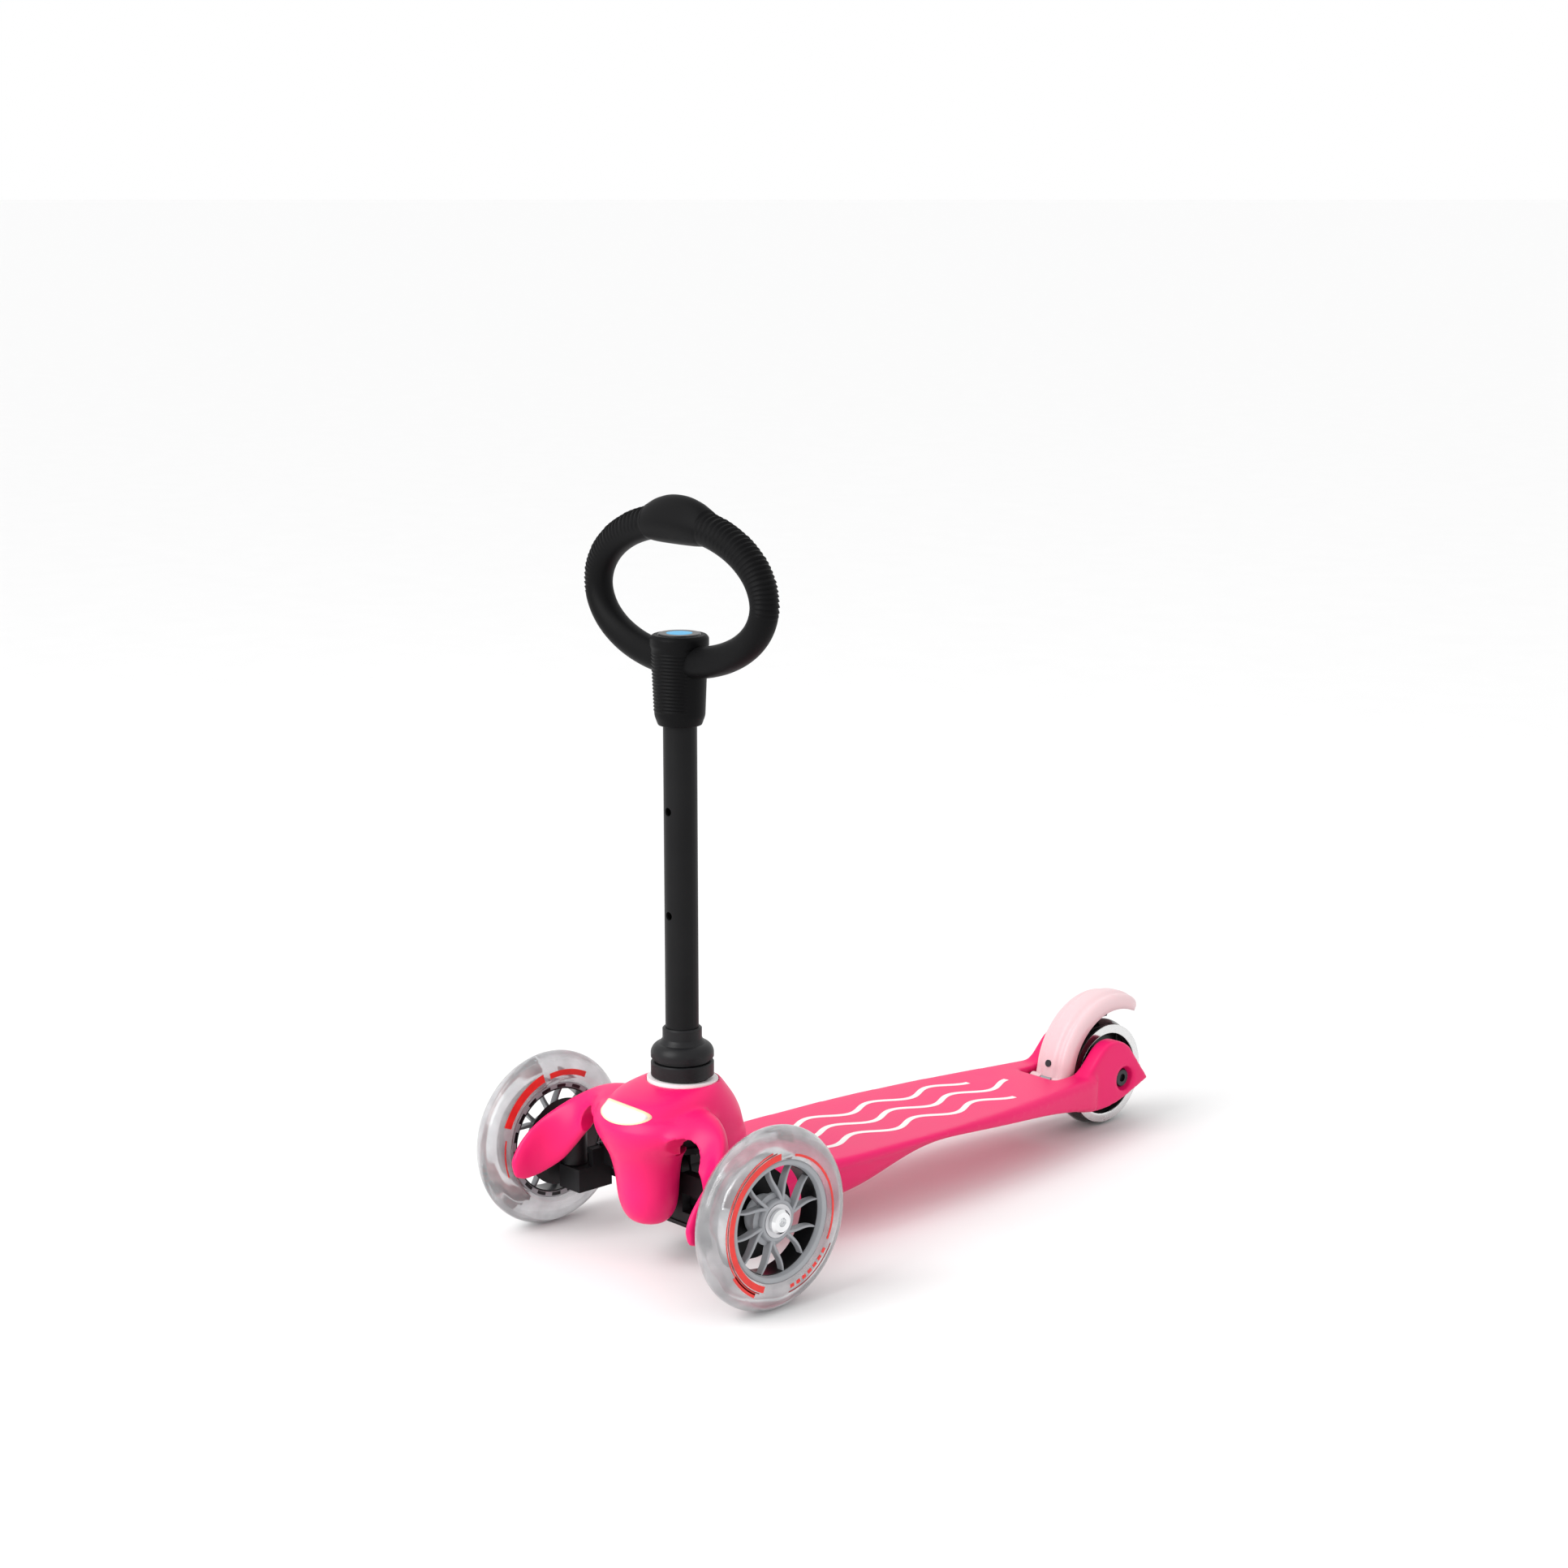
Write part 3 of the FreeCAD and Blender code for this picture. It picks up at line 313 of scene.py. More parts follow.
def clear_polyurethane(name, low, high):
    """Cast tyre: glassy, slightly milky, between two greys, with faint flow marks."""
    material, tree, shader = blank(name)
    shader.inputs["Transmission Weight"].default_value = 0.72
    shader.inputs["IOR"].default_value = 1.42
    shader.inputs["Coat Weight"].default_value = 0.4
    shader.inputs["Coat Roughness"].default_value = 0.08
    cloud = noise(tree, 60, 3)
    tones = ((low, low, low * 1.03), (high, high, high * 1.02))
    toned(tree, shader, cloud, tones, (0.35, 0.7))
    glossed(tree, shader, cloud, 0.06, 0.26)
    grained(tree, shader, noise(tree, 160, 2), 0.12, 0.0006)
    return material


PINK = (0.80, 0.008, 0.138)
PINK_SHADE = (0.75, 0.0065, 0.120)
LOOKS = {
    "clear_tyre": clear_polyurethane("clear_tyre_looks", 0.51, 0.81),
    "grey_core": moulded("grey_core_looks", (0.37, 0.38, 0.40), (0.30, 0.31, 0.33), 0.4,
                         specular=0.35),
    # the black core's own colour, also used for painted shade inside the wheel rims
    "black_core": moulded("black_core_and_shade_looks", (0.009, 0.009, 0.01), (0.006, 0.006, 0.007), 0.3,
                          specular=0.3),
    "steel": brushed("steel_looks", (0.62, 0.62, 0.64), 0.3),
    "spring_steel": brushed("spring_steel_looks", (0.4, 0.41, 0.43), 0.35),
    "black_steel": brushed("black_steel_looks", (0.06, 0.06, 0.065), 0.32),
    "chrome": brushed("chrome_looks", (0.86, 0.87, 0.88), 0.1, 120.0),
    "black_nylon": moulded("black_nylon_looks", (0.010, 0.010, 0.011), (0.006, 0.006, 0.007), 0.42,
                           grain=0.12, specular=0.22),
    "bush_plastic": moulded("bush_plastic_looks", (0.78, 0.77, 0.72), (0.7, 0.69, 0.64), 0.42),
    "black_tube": moulded("black_tube_looks", (0.009, 0.009, 0.0095), (0.007, 0.007, 0.0075), 0.42,
                          grain=0.03, mottle=30.0, specular=0.1),
    "soft_black": moulded("soft_black_looks", (0.004, 0.004, 0.0044), (0.003, 0.003, 0.0033), 0.46,
                          grain=0.2, grain_size=1400.0, specular=0.07),
    "emblem_cap": moulded("emblem_cap_looks", (0.008, 0.008, 0.009), (0.006, 0.006, 0.007), 0.3,
                          specular=0.3),
    "white_ring": moulded("white_ring_looks", (0.86, 0.80, 0.81), (0.82, 0.76, 0.77), 0.45),
    "pink_shell": moulded("pink_shell_looks", PINK, PINK_SHADE, 0.36, grain=0.06, specular=0.24),
    "pale_pink": moulded("pale_pink_looks", (0.77, 0.55, 0.575), (0.70, 0.48, 0.51), 0.36,
                         grain=0.05, coat=0.15, subsurface=0.1),
}
REAR_TYRE = clear_polyurethane("rear_tyre_looks", 0.02, 0.10)
PRINTS = {
    "red_print": printed("red_print", (0.80, 0.025, 0.018), (0.66, 0.02, 0.015), 0.4),
    "dark_red_print": printed("dark_red_print", (0.30, 0.02, 0.02), (0.22, 0.016, 0.016)),
    "white_print": printed("white_print", (0.86, 0.84, 0.82), (0.80, 0.78, 0.76), 0.5, 220.0),
    "cream_print": printed("cream_print", (0.88, 0.72, 0.48), (0.84, 0.66, 0.42)),
    "blue_print": printed("blue_print", (0.02, 0.42, 0.75), (0.02, 0.36, 0.68), 0.4),
}


# ---------------------------------------------------------------- hood

HOOD_WALL = 3.3
# level sections: (z, middle y from the axle, half depth, half width)
DOME = ((84, 17.5, 49, 41), (97, 15, 49.2, 39.8), (107, 12.8, 47, 37.4),
        (115, 13.5, 40.6, 33.4), (119, 18, 33, 29.5), (121.9, 23.6, 25.2, 25.2))
SKIRT = ((68, 19, 50, 43), (78, 18.5, 49.5, 42.5), (88, 17.5, 49.2, 41.3))
NOSE = ((29.6, -6, 4, 5), (32, -6, 11.5, 12.8), (38, -6, 16.5, 17.6), (48, -6.5, 19, 21.1),
        (62, -7, 20, 22.8), (76, -8, 22.5, 25.6), (85, -7.5, 27, 31.5),
        (92, -3.5, 33.5, 40), (100, 0.5, 38.5, 44), (107, 4.5, 38, 42))
# ridge, lower edge (x, y from the axle, z) and half thickness of each wing section
WING = ((20, 8, 112.5, 22, -20, 97, 15), (36, 8, 112.5, 35, -17, 95, 14),
        (49, 6, 111, 47, -11, 88, 12), (60, 2, 107.5, 58, -10, 79, 9.6),
        (70, -4, 102, 66, -12.5, 68, 7.6), (78.5, -13, 95, 73, -18.5, 57, 6),
        (84.8, -24.5, 87, 79.6, -25.8, 50, 5), (87.2, -37, 78, 85, -34.5, 45.4, 4.4),
        (88, -45.8, 68.5, 87, -42, 44.6, 3.8), (88.4, -51, 59, 88, -48.4, 47, 2.4))


def level_rings(rows, shrink=0.0, count=64):
    """Level ellipses about the front axle, from (z, middle y, half depth, half width)."""
    rings = []
    for z, mid, depth, width in rows:
        ring = []
        for step in range(count):
            angle = 2 * math.pi * step / count
            ring.append(Vector(((width - shrink) * math.sin(angle) * MM,
                                AXLE_Y + (mid + (depth - shrink) * math.cos(angle)) * MM, z * MM)))
        rings.append(ring)
    return rings


def wing(side):
    """One wing of the hood: oval sections from its ridge to its lower edge."""
    rows = through(WING, 5)
    around = 28
    rings = []
    for i, (rx, ry, rz, lx, ly, lz, thickness) in enumerate(rows):
        before = rows[max(i - 1, 0)]
        after = rows[min(i + 1, len(rows) - 1)]
        ridge = Vector((rx, ry, rz))
        lower = Vector((lx, ly, lz))
        run = Vector((after[0] + after[3] - before[0] - before[3],
                      after[1] + after[4] - before[1] - before[4], 0)).normalized()
        across = Vector((-run.y, run.x, 0)) * thickness
        core = (ridge + lower) / 2
        rise = (ridge - lower) / 2
        ring = []
        for step in range(around):
            angle = 2 * math.pi * step / around
            point = core + rise * math.cos(angle) + across * math.sin(angle)
            ring.append(Vector((side * point.x * MM, AXLE_Y + point.y * MM, point.z * MM)))
        rings.append(ring)
    return skin("wing", rings)


def round_tool(name, spot, radius, low, high, axis="Z"):
    """A round cutting tool along z at (x, y), or along y at (x, z), from the front axle."""
    across, second = spot
    if axis == "Z":
        centre = Vector((across * MM, AXLE_Y + second * MM, 0))
    else:
        centre = Vector((across * MM, AXLE_Y, second * MM))
    return lathe(name, [(0, low), (radius, low), (radius, high), (0, high)], centre, axis, 64)


def block(name, low, high):
    """A plain cutting block between two corners, in millimetres from the front axle."""
    base = Vector((0, AXLE_Y, 0))
    rings = []
    for z in (low[2], high[2]):
        corners = ((low[0], low[1]), (high[0], low[1]), (high[0], high[1]), (low[0], high[1]))
        rings.append([base + Vector((x, y, z)) * MM for x, y in corners])
    return skin(name, rings)


def make_hood():
    """The pink hood: a dome, a nose and two wings grown into one shell, hollow below."""
    rear_skirt = skin("skirt", level_rings(through(SKIRT, 3)))
    cut_away(rear_skirt, [block("front_half", (-70, -60, 60), (70, 24, 95))])
    dome = skin("dome", level_rings(through(DOME, 6)))
    nose = skin("nose", level_rings(through(NOSE, 5)))
    shell = joined("hood_shell", [dome, nose, rear_skirt, wing(1), wing(-1)])
    hood = remeshed(shell, voxel=1.15, rounds=20)

    skirt_rows = [(60, *SKIRT[0][1:])] + through(SKIRT, 3)
    skirt_room = skin("skirt_room", level_rings(skirt_rows, HOOD_WALL))
    cut_away(skirt_room, [block("front_room", (-70, -60, 50), (70, 24, 95))])
    dome_rows = [(82, 17.5, 44, 38)] + through(DOME[:-2], 6)
    nose_rows = [(z + 3, *rest) for z, *rest in through(NOSE[:-3], 5)]
    tools = [skin("dome_room", level_rings(dome_rows, HOOD_WALL)),
             skin("nose_room", level_rings(nose_rows, HOOD_WALL)),
             skirt_room, block("low_gap", (-45, 11.2, 25), (45, 26, 86)),
             round_tool("shaft_room", (0, 61), 10.5, -5, 25, "Y")]
    for sign in (1, -1):
        tools.append(round_tool("arch", (sign * 46, 86), 13.5, -40, 24, "Y"))
        tools.append(round_tool("kingpin_room", (sign * 81, 0), 10.5, 40, 91))
    tools.append(round_tool("neck_hole", (0, 24), 23.7, 100, 135))
    cut_away(hood, tools)
    hood = remeshed(hood, voxel=0.85, rounds=4)
    return riding(hood, "column", ["hood"], LOOKS["pink_shell"])


def oval_patch(name, faces_of, half_x, half_z, lift, colour):
    """A thin oval projected on to the hood from straight ahead, just left of its middle."""
    centre_x = -1
    centre_z = 109.5
    circles = 7
    around = 48
    start_y = AXLE_Y - 120 * MM
    points = []
    for circle in range(circles):
        share = circle / (circles - 1)
        for step in range(around):
            angle = 2 * math.pi * step / around
            x = centre_x + half_x * share * math.cos(angle)
            z = centre_z + half_z * share * math.sin(angle)
            eye = Vector((x * MM, start_y, z * MM))
            hit, normal, _, _ = faces_of.ray_cast(eye, Vector((0, 1, 0)))
            points.append(hit + normal * lift * MM)
    faces = []
    for circle in range(circles - 1):
        near = circle * around
        far = near + around
        for step in range(around):
            after = (step + 1) % around
            faces.append((near + step, near + after, far + after, far + step))
    mesh = bpy.data.meshes.new(name)
    mesh.from_pydata(points, [], faces)
    patch = finished(name, mesh)
    solid = patch.modifiers.new("thickness", "SOLIDIFY")
    solid.thickness = 0.12 * MM
    solid.offset = -1
    riding(applied(patch), "column", (), PRINTS[colour])


def hood_badge(hood):
    """A plain pale oval with a cream rim, laid on the front of the dome."""
    faces_of = surface(hood)
    oval_patch("badge_rim", faces_of, 24, 5.6, 0.16, "cream_print")
    oval_patch("badge_field", faces_of, 22, 4.5, 0.24, "white_print")


# ---------------------------------------------------------------- handle

def make_ring_handle():
    """The oval ring with grip ribs on its shoulders and a palm knob on top."""
    low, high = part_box("o_bar")
    tube = 9.25
    half_width = (high.x - low.x) / 2 / MM - tube
    half_height = 46.0
    knob_half_width = 27.0
    rib_pitch = 6.2
    rib_start = 0.9
    samples = 720
    around = 36
    centre = Vector((0, STEM.y, high.z - 63.2 * MM))
    rings = []
    for i in range(samples):
        theta = 2 * math.pi * i / samples
        high_share = math.sin(theta)
        low_share = max(0.0, -high_share)
        spot = Vector((half_width * math.cos(theta), 0, half_height * high_share))
        run = Vector((-half_width * high_share, 0, half_height * math.cos(theta))).normalized()
        out = Vector((run.z, 0, -run.x))
        radius = tube + 1.7 * high_share
        inward = radius + 5.6 * low_share ** 1.5
        depth = tube + 1.7 * max(0.0, high_share) + 0.6 * low_share
        u = spot.x / knob_half_width
        knob = (1 - u * u) ** 0.75 if spot.z > 0 and abs(u) < 1 else 0.0
        grip = 0.0
        if high_share > -0.16 and abs(u) > rib_start:
            fade = min(1.0, (0.16 + high_share) / 0.12, (abs(u) - rib_start) / 0.08)
            grip = fade * (0.55 - 1.5 * (i / rib_pitch % 1.0))
        ring = []
        for k in range(around):
            phi = 2 * math.pi * k / around
            c = math.cos(phi)
            if c > 0:
                reach = radius + 6.3 * knob * c ** 1.4
            else:
                reach = inward + 3.4 * knob * (-c) ** 1.4
            wide = depth + 1.9 * knob
            if c > -0.3:
                share = min(1.0, (c + 0.3) * 1.5)
                reach += grip * share
                wide += grip * 0.6 * share
            offset = out * (reach * c) + Vector((0, wide * math.sin(phi), 0))
            ring.append(centre + (spot + offset) * MM)
        rings.append(ring)
    handle = skin("ring_handle", rings, loop=True)
    riding(handle, "column", ["o_bar"], LOOKS["soft_black"])


def make_handle_sleeve():
    """The sleeve that clamps the ring to the stem, finely ribbed in front, and its cap's disc."""
    rib_pitch = 2.3
    finest = 0.45
    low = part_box("o_bar")[0].z / MM
    outline = [(11.05, low), (14.2, low, 0.6), (16.4, low + 6, 1.5), (18.2, low + 49.5, 1),
               (19.0, low + 51.5, 0.8), (19.0, low + 56.5, 0.8), (17.2, low + 58.5, 0.8),
               (14.3, low + 58.5, 0.2), (14.3, low + 52.1), (11.05, low + 52.1)]
    eased = rounded(outline, 0.4)
    dense = []
    for i, point in enumerate(eased):
        after = eased[(i + 1) % len(eased)]
        pieces = max(1, int((after - point).length / finest))
        dense += [point.lerp(after, k / pieces) for k in range(pieces)]

    def ribs(angle, radius, height):
        front = math.cos(angle + math.pi / 2)
        if radius < 15.5 or not low + 9 < height < low + 47 or front < 0.35:
            return 0.0
        swing = math.sin(2 * math.pi * (height - low) / rib_pitch)
        return 0.42 * min(1.0, (front - 0.35) * 5) * swing

    sleeve = lathe("handle_sleeve", dense, Vector((0, STEM.y, 0)), "Z", 144, wave=ribs)
    riding(sleeve, "column", (), LOOKS["soft_black"])
    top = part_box("o_bar_cap")[1].z / MM
    outline = [(0.01, top - 1), (8.6, top - 1), (8.6, top + 0.02), (0.01, top + 0.02)]
    disc = lathe("cap_disc", rounded(outline, 0.3), Vector((0, STEM.y, 0)), "Z", 64)
    riding(disc, "column", (), PRINTS["blue_print"])


# ---------------------------------------------------------------- wheels

def outward(axis):
    """The way along x in which a wheel's outer face looks."""
    return -1 if axis == "-X" else 1


def make_tyre(side, body, centre, axis, radius, core, looks):
    """A crowned tyre with soft shoulders."""
    half = 11.8
    outline = rounded([(core + 0.05, -9.9, 0.3), (core + 2.6, -half, 1.2), (radius - 11, -half, 4),
                       (radius - 3.2, -8.2, 5), (radius, -2.2, 2.5), (radius, 2.2, 2.5),
                       (radius - 3.2, 8.2, 5), (radius - 11, half, 4), (core + 2.6, half, 1.2),
                       (core + 0.05, 9.9, 0.3)], 1, 6)
    tyre = lathe("%s_tyre" % side, outline, centre, axis, 128)
    riding(tyre, body, ["tyre_" + side], looks)


def spoke(name, centre, axis, start, end, bend, root, tip, face, back):
    """A curved spoke between two (radius, angle) places, tapering to the rim."""
    rings = []
    steps = 12
    small = 0.05

    def along(t):
        radius = start[0] + (end[0] - start[0]) * t
        angle = math.radians(start[1] + (end[1] - start[1]) * t
                             + bend * math.sin(math.pi * min(t, 1)))
        return Vector((radius * math.cos(angle), radius * math.sin(angle)))

    for step in range(steps + 1):
        t = step / steps
        spot = along(t)
        run = (along(t + small) - spot).normalized()
        wide = Vector((-run.y, run.x)) * (root + (tip - root) * t) / 2
        sink = 1.6 * t
        outline = ((-1, back), (-1, face - sink - 0.5), (-0.55, face - sink), (0.55, face - sink),
                   (1, face - sink - 0.5), (1, back))
        ring = []
        for share, height in outline:
            point = spot + wide * share
            ring.append(centre + Vector((outward(axis) * height, point.x, point.y)) * MM)
        rings.append(ring)
    return skin(name, rings, smooth=False)


def make_core(side, body, centre, axis, radius, slot, forks):
    """Rim, hub and forked curved spokes of one wheel core, and a black band of painted shade on
    the rim's inner wall.
    """
    parts = []
    rim = rounded([(radius - 3.6, -9.6), (radius - 0.05, -9.8), (radius - 0.05, 9.8),
                   (radius - 1.2, 10.2), (radius - 3.6, 9.4), (radius - 4.4, 6.5)], 0.5)
    parts.append(lathe("rim", rim, centre, axis, 128))
    hub = rounded([(11.0, -10.2), (13.2, -10.2), (14.2, -6), (14.2, 5.4), (13.2, 7.4),
                   (11.0, 7.4)], 0.6)
    parts.append(lathe("hub", hub, centre, axis, 96))
    web_radius = 17.5 if forks > 3 else radius - 3
    flange = rounded([(8.6, 1.2), (web_radius, 1.2), (web_radius, 3.0), (8.6, 5.2)], 0.2)
    parts.append(lathe("hub_web", flange, centre, axis, 96))
    for fork in range(forks):
        base = 360.0 * fork / forks + 12
        spread = 180.0 / forks * 0.52
        for way in (1, -1):
            parts.append(spoke("spoke", centre, axis, (13, base + way * spread * 0.15),
                               (radius - 3.2, base + way * spread + 12), way * 2.5 + 6,
                               2.4, 1.4, 7.2, 1.0))
    core = joined("%s_core" % side, parts)
    riding(core, body, ["wheel_core_" + side], LOOKS[slot])
    # painted shade: a black band laid inside the rim, darkening its inner wall where the wheel's
    # hollow is shaded
    painted_shade_band = rounded([(radius - 4.6, -9.2), (radius - 3.9, -9.2), (radius - 3.9, 5.6),
                     (radius - 4.9, 5.6)], 0.15)
    riding(lathe("%s_core_painted_shade" % side, painted_shade_band, centre, axis, 96), body, (),
           LOOKS["black_core"])


def arc_band(name, centre, axis, section, start, end, steps):
    """A band along an arc about a wheel's axis, from its section (radius, height)."""
    rings = []
    for step in range(steps + 1):
        angle = math.radians(start + (end - start) * step / steps)
        ring = []
        for radius, height in section:
            offset = Vector((outward(axis) * height, radius * math.cos(angle),
                             radius * math.sin(angle)))
            ring.append(centre + offset * MM)
        rings.append(ring)
    return skin(name, rings, smooth=False)


def arc_prints(name, body, centre, axis, face, arcs):
    """Thin printed arcs on a tyre's side: (inner, outer radius, start, end angle, colour)."""
    top = face + 0.12
    for i, (inner, outer, start, end, colour) in enumerate(arcs):
        section = ((inner, face), (outer, face), (outer, top), (inner, top))
        steps = max(6, int(abs(end - start) / 3))
        band = arc_band("%s_%d" % (name, i), centre, axis, section, start, end, steps)
        riding(band, body, (), PRINTS[colour])


def rim_slot_shade(side, body, centre, axis):
    """Short black patches of painted shade round the inner face of a front rim, where its pockets
    lie.
    """
    section = ((36.8, -9.75), (36.8, -9.6), (39, -9.6), (39, -9.85))
    pitch = 20
    # painted shade: each black patch stands for the shade inside one pocket of the rim
    patches = [arc_band("slot", centre, axis, section, start, start + 11, 5)
               for start in range(0, 360, pitch)]
    pocket_shade = joined("%s_rim_slots" % side, patches)
    riding(pocket_shade, body, (), LOOKS["black_core"])


def make_axle_bolt(side, centre, axis):
    """A chrome socket-head bolt with a six-sided recess."""
    base = 7.65
    floor = base + 1.2
    outline = rounded([(0.01, base), (7.4, base), (8.0, base + 0.8), (7.6, base + 2.4, 1.2),
                       (5.6, base + 3.7, 0.8), (3.4, base + 3.75, 0.3), (3.2, floor),
                       (0.01, floor)], 0.3)

    def six(angle, radius, _):
        if radius > 3.6 or radius < 1:
            return 0.0
        return 2.9 / math.cos((angle % (math.pi / 3)) - math.pi / 6) - 3.2

    head = lathe("%s_bolt_head" % side, outline, centre, axis, 96, wave=six)
    riding(head, "steering_" + side, (), LOOKS["chrome"])


OUTER_ARCS = ([(41.4, 45.6, 92, 248, "red_print"), (46.1, 46.9, 96, 244, "dark_red_print"),
               (47.4, 48.3, 100, 240, "red_print"), (42.6, 44.2, -28, 76, "red_print")]
              + [(43.0, 45.4, 278 + 7 * k, 282.4 + 7 * k, "red_print") for k in range(7)]
              + [(47.2, 48.0, 276, 330, "dark_red_print"), (46.8, 50.2, 212, 240, "red_print")])
INNER_ARCS = ((45.5, 51.5, 106, 158, "red_print"), (45.5, 49.5, 62, 100, "red_print"),
              (47, 48, 168, 200, "red_print"))


def make_wheels():
    """Both front wheels with their bolts and prints, and the dark rear wheel."""
    for side, sign in (("left", 1), ("right", -1)):
        body = "wheel_" + side
        axis = "X" if sign > 0 else "-X"
        centre = Vector((sign * HALF_TRACK, AXLE_Y, FRONT_AXLE.z))
        make_tyre(side, body, centre, axis, 60, 40, LOOKS["clear_tyre"])
        make_core(side, body, centre, axis, 40, "grey_core", 6)
        make_axle_bolt(side, centre, axis)
        rim_slot_shade(side, body, centre, axis)
        arc_prints("%s_print" % side, body, centre, axis, 11.8, OUTER_ARCS)
        arc_prints("%s_back_print" % side, body, centre, axis, -11.92, INNER_ARCS)
    centre = Vector((0, REAR_AXLE.y, REAR_AXLE.z))
    make_tyre("rear", "wheel_rear", centre, "X", 40, 35.4, REAR_TYRE)
    make_core("rear", "wheel_rear", centre, "X", 36.9, "black_core", 3)


# ---------------------------------------------------------------- deck and brake

def make_deck():
    """The moulded deck: the CAD board with its edges and ears eased."""
    board = placed("deck_board", frame["nodes"]["deck"].data.copy())
    weld = bmesh.new()
    weld.from_mesh(board.data)
    bmesh.ops.remove_doubles(weld, verts=weld.verts, dist=1e-6)
    weld.to_mesh(board.data)
    weld.free()
    remeshed(board, voxel=1.3, rounds=14)
    return riding(board, "chassis", ["deck"], LOOKS["pink_shell"])


def line_print(name, faces_of, path, width):
    """A white line of even width laid on the deck along a path of (x, y from the axle)."""
    lift = Vector((0, 0, 0.14 * MM))
    depth = Vector((0, 0, 0.2 * MM))
    last = len(path) - 1
    rings = []
    for i, (x, y) in enumerate(path):
        run = (Vector(path[min(i + 1, last)]) - Vector(path[max(i - 1, 0)])).normalized()
        square = Vector((-run.y, run.x)) * width / 2
        ring = []
        for sign in (-1, 1):
            spot = Vector((x, y)) + square * sign
            above = Vector((spot.x * MM, AXLE_Y + spot.y * MM, 0.09))
            ring.append(faces_of.ray_cast(above, Vector((0, 0, -1)))[0] + lift)
        ring += [ring[1] - depth, ring[0] - depth]
        rings.append(ring)
    line = skin(name, rings, smooth=False)
    riding(line, "chassis", (), PRINTS["white_print"])


def deck_prints(board):
    """Three plain white waves along the deck: each one's x, start and end from the axle."""
    faces_of = surface(board)
    swing = 5.5
    half_wave = 30
    for row, (x, start, end) in enumerate(((-23, 124, 318), (0, 140, 346), (23, 124, 318))):
        path = [(x + swing * math.sin((y - 120) * math.pi / half_wave), y)
                for y in range(start, end, 3)]
        line_print("deck_print_wave_%d" % row, faces_of, path, 4.4)


def fender_section(t, centre):
    """One closed section of the fender, at a share t of its way from foot to tail."""
    radius = 58.5
    half = 16.0
    wall = 2.6
    across = 36
    angle = math.radians(-98 + 137 * t)
    tail = max(0.0, (t - 0.80) / 0.20)
    round_off = math.sqrt(max(0.0, 1 - tail ** 2.6))
    width = half * (0.22 + 0.78 * round_off)
    skirt = 12.8 * (0.3 + 0.7 * round_off)
    sink = 3.2 * tail ** 3 - 4.2 * max(0.0, 1 - t / 0.12) ** 1.5
    up = Vector((0, math.sin(angle), math.cos(angle)))
    section = []
    for inner in (False, True):
        inset = wall * inner
        row = []
        for k in range(across + 1):
            share = -1 + 2 * k / across
            drop = 1 - (1 - abs(share) ** 3.4) ** (1 / 2.6)
            flute = 1.5 * math.exp(-((abs(share) - 0.5) / 0.15) ** 2) * (1 - tail)
            out = radius - sink - flute * (1 - inner) - inset - (skirt - inset) * drop
            row.append(centre + (Vector(((width - inset) * share, 0, 0)) + up * out) * MM)
        section += row[::-1] if inner else row
    return section


def make_fender():
    """The sprung brake fender, a fluted arch over the rear wheel, and the pad below it."""
    centre = REAR_AXLE + Vector((0, 4.6, 3.007)) * MM
    steps = 84
    shell = skin("fender_shell", [fender_section(i / steps, centre) for i in range(steps + 1)])
    soften = shell.modifiers.new("soften", "SMOOTH")
    soften.factor = 0.4
    soften.iterations = 2
    applied(shell)
    eye = rounded([(2.6, 6), (4.7, 6), (4.7, 15.6), (2.6, 15.6)], 0.4)
    pin = middle("brake_pin")
    fender = joined("fender", [shell, lathe("eye", eye, pin, "X", 48),
                               lathe("eye", eye, pin, "-X", 48)])
    riding(fender, "brake", ["brake_fender"], LOOKS["pale_pink"])

    section = rounded([(-9.5, 43.8), (9.5, 43.8), (9.5, 50), (-9.5, 50)], 1.5)
    rings = []
    for step in range(13):
        angle = math.radians(-24 + 2.2 * step)
        ring = []
        for x, reach in section:
            spot = Vector((x, reach * math.sin(angle), reach * math.cos(angle)))
            ring.append(REAR_AXLE + spot * MM)
        rings.append(ring)
    pad = skin("brake_pad", rings)
    riding(pad, "brake", ["brake_shoe"], LOOKS["soft_black"])


# ---------------------------------------------------------------- carried-over CAD nodes

SOFT_EDGES = {"front_frame": 0.9, "knuckle_left": 0.6, "knuckle_right": 0.6, "tie_rod": 0.8,
              "rocker": 0.8, "bottom_cover": 0.5}


def dress_cad_nodes():
    """Materials for every CAD node, and eased edges on the plain ones that stay in view."""
    for part in record["subparts"]:
        node = frame["nodes"][part["node"]]
        node.data.materials.clear()
        node.data.materials.append(LOOKS[part["material_slot"]])
        width = SOFT_EDGES.get(part["node"])
        if width:
            bevel = node.modifiers.new("eased_edges", "BEVEL")
            bevel.width = width * MM
            bevel.segments = 3
            bevel.limit_method = "ANGLE"
            bevel.angle_limit = math.radians(40)


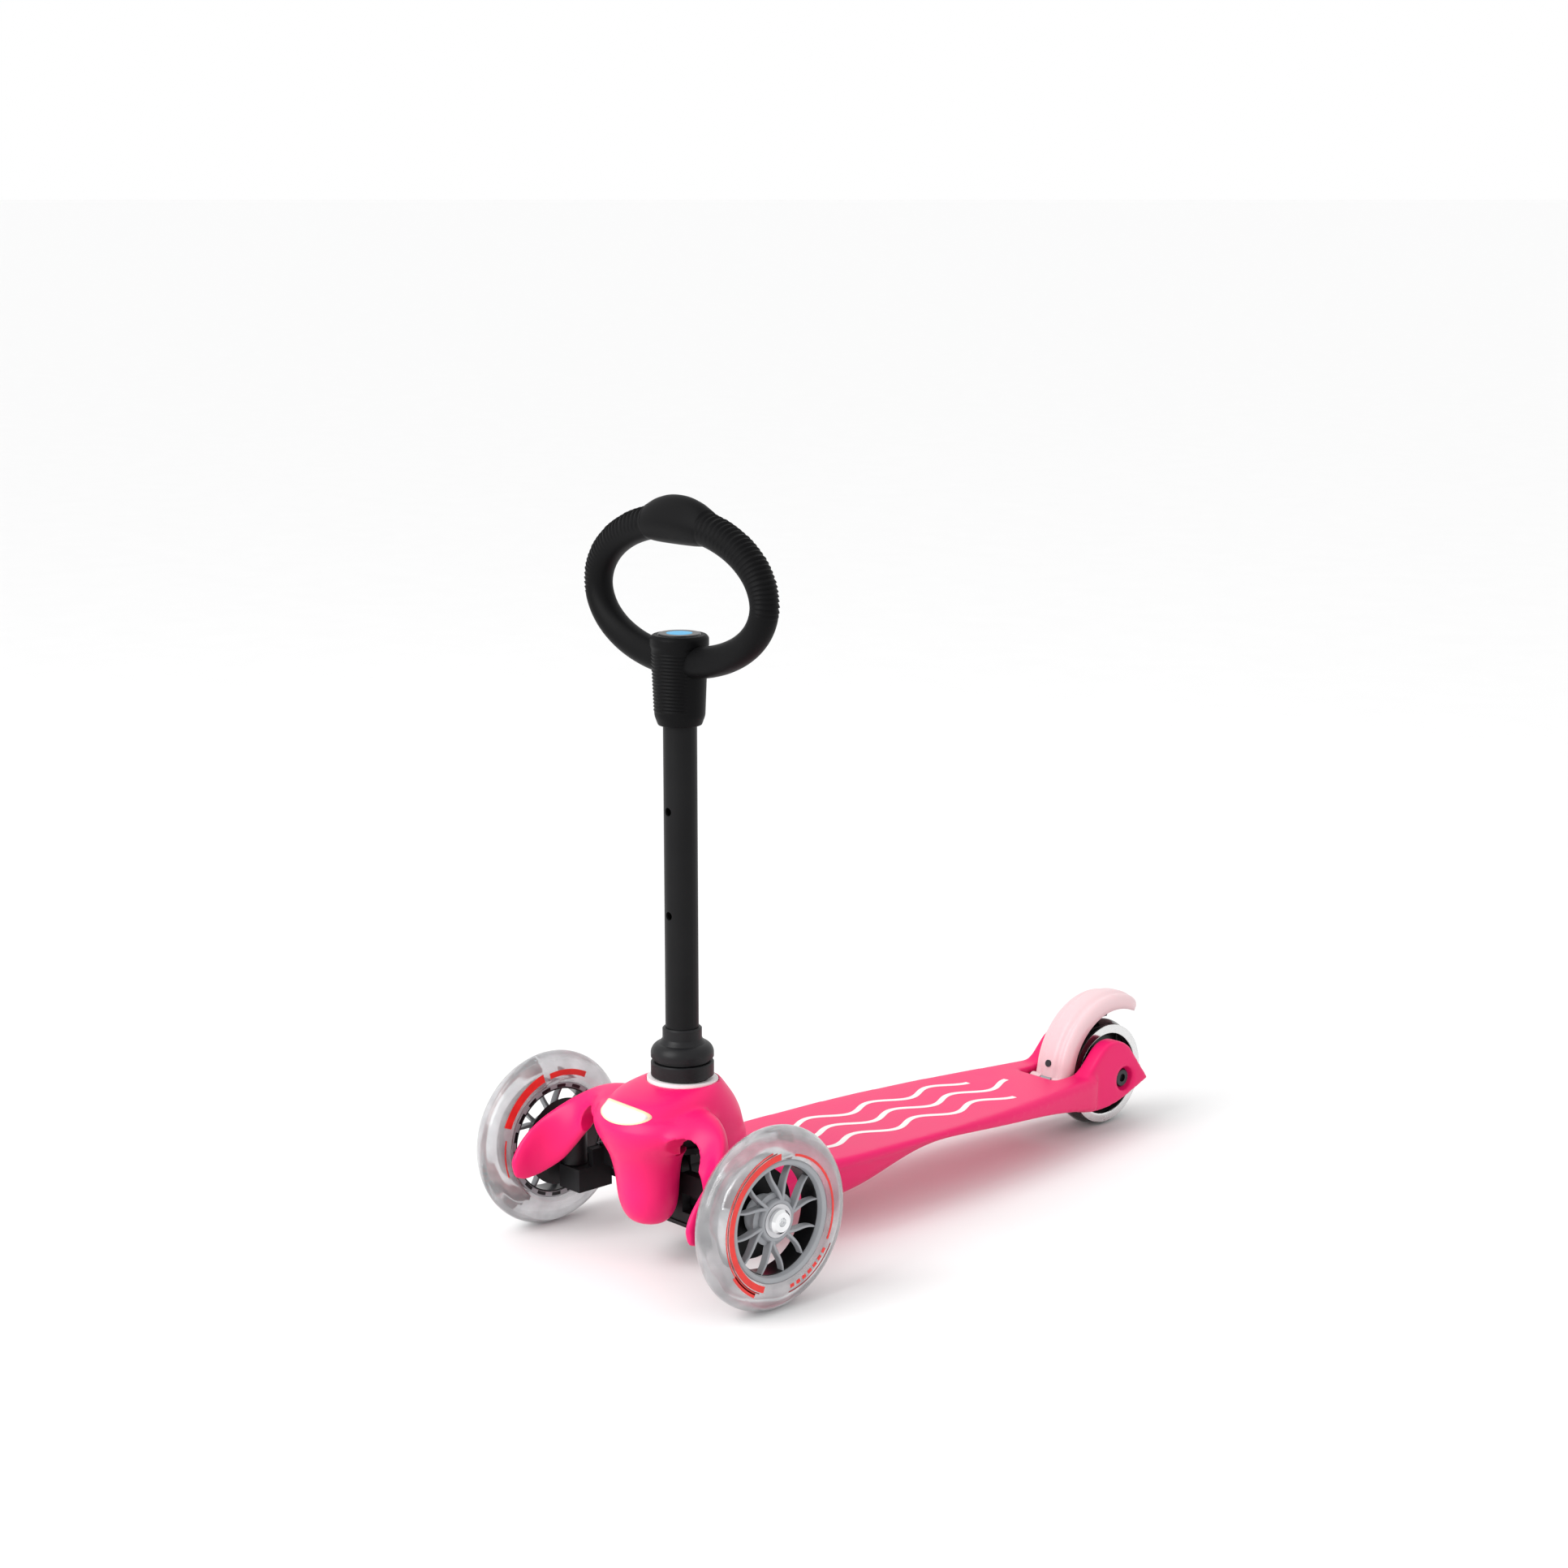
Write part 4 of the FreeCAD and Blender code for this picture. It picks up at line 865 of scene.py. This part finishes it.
# ---------------------------------------------------------------- stage

def make_floor():
    """A plain pale floor that reaches past the view."""
    work = bmesh.new()
    bmesh.ops.create_grid(work, x_segments=4, y_segments=4, size=400)
    mesh = bpy.data.meshes.new("floor")
    work.to_mesh(mesh)
    work.free()
    floor = placed("floor", mesh)
    floor.data.materials.append(moulded("floor_looks", (0.86, 0.86, 0.86), (0.85, 0.85, 0.85),
                                        0.75, grain=0.0, specular=0.2))


def make_lights():
    """A white surround, a soft sun and one large lamp in front."""
    world = bpy.data.worlds.new("studio")
    world.use_nodes = True
    surround = world.node_tree.nodes["Background"]
    surround.inputs["Color"].default_value = (1, 1, 1, 1)
    surround.inputs["Strength"].default_value = 1.0
    bpy.context.scene.world = world
    bpy.context.scene.view_settings.view_transform = "Standard"

    sun = bpy.data.lights.new("sun", "SUN")
    sun.energy = 0.5
    sun.angle = math.radians(25)
    placed("sun", sun).rotation_euler = (math.radians(32), math.radians(-14), 0)

    key = bpy.data.lights.new("key", "AREA")
    key.energy = 22.0
    key.size = 1.2
    lamp = placed("key", key)
    lamp.location = (-0.2, -1.7, 1.1)
    aim = Vector((0, 0, 0.15))
    lamp.rotation_euler = (aim - lamp.location).to_track_quat("-Z", "Y").to_euler()


def make_camera():
    """The camera, in front of the scooter and to its left."""
    eye = bpy.data.cameras.new("camera")
    eye.lens = 68.64
    eye.sensor_width = 36
    eye.clip_start = 0.05
    eye.clip_end = 60
    camera = placed("camera", eye)
    azimuth = math.radians(46.95)
    elevation = math.radians(11.72)
    ahead = Vector((-math.sin(azimuth) * math.cos(elevation),
                    math.cos(azimuth) * math.cos(elevation), -math.sin(elevation)))
    camera.location = (1.42313, -1.42514, 0.70997)
    camera.rotation_euler = ahead.to_track_quat("-Z", "Y").to_euler()
    bpy.context.scene.camera = camera


make_floor()
make_lights()
make_camera()
dress_cad_nodes()
hood = make_hood()
hood_badge(hood)
make_ring_handle()
make_handle_sleeve()
make_wheels()
board = make_deck()
deck_prints(board)
make_fender()
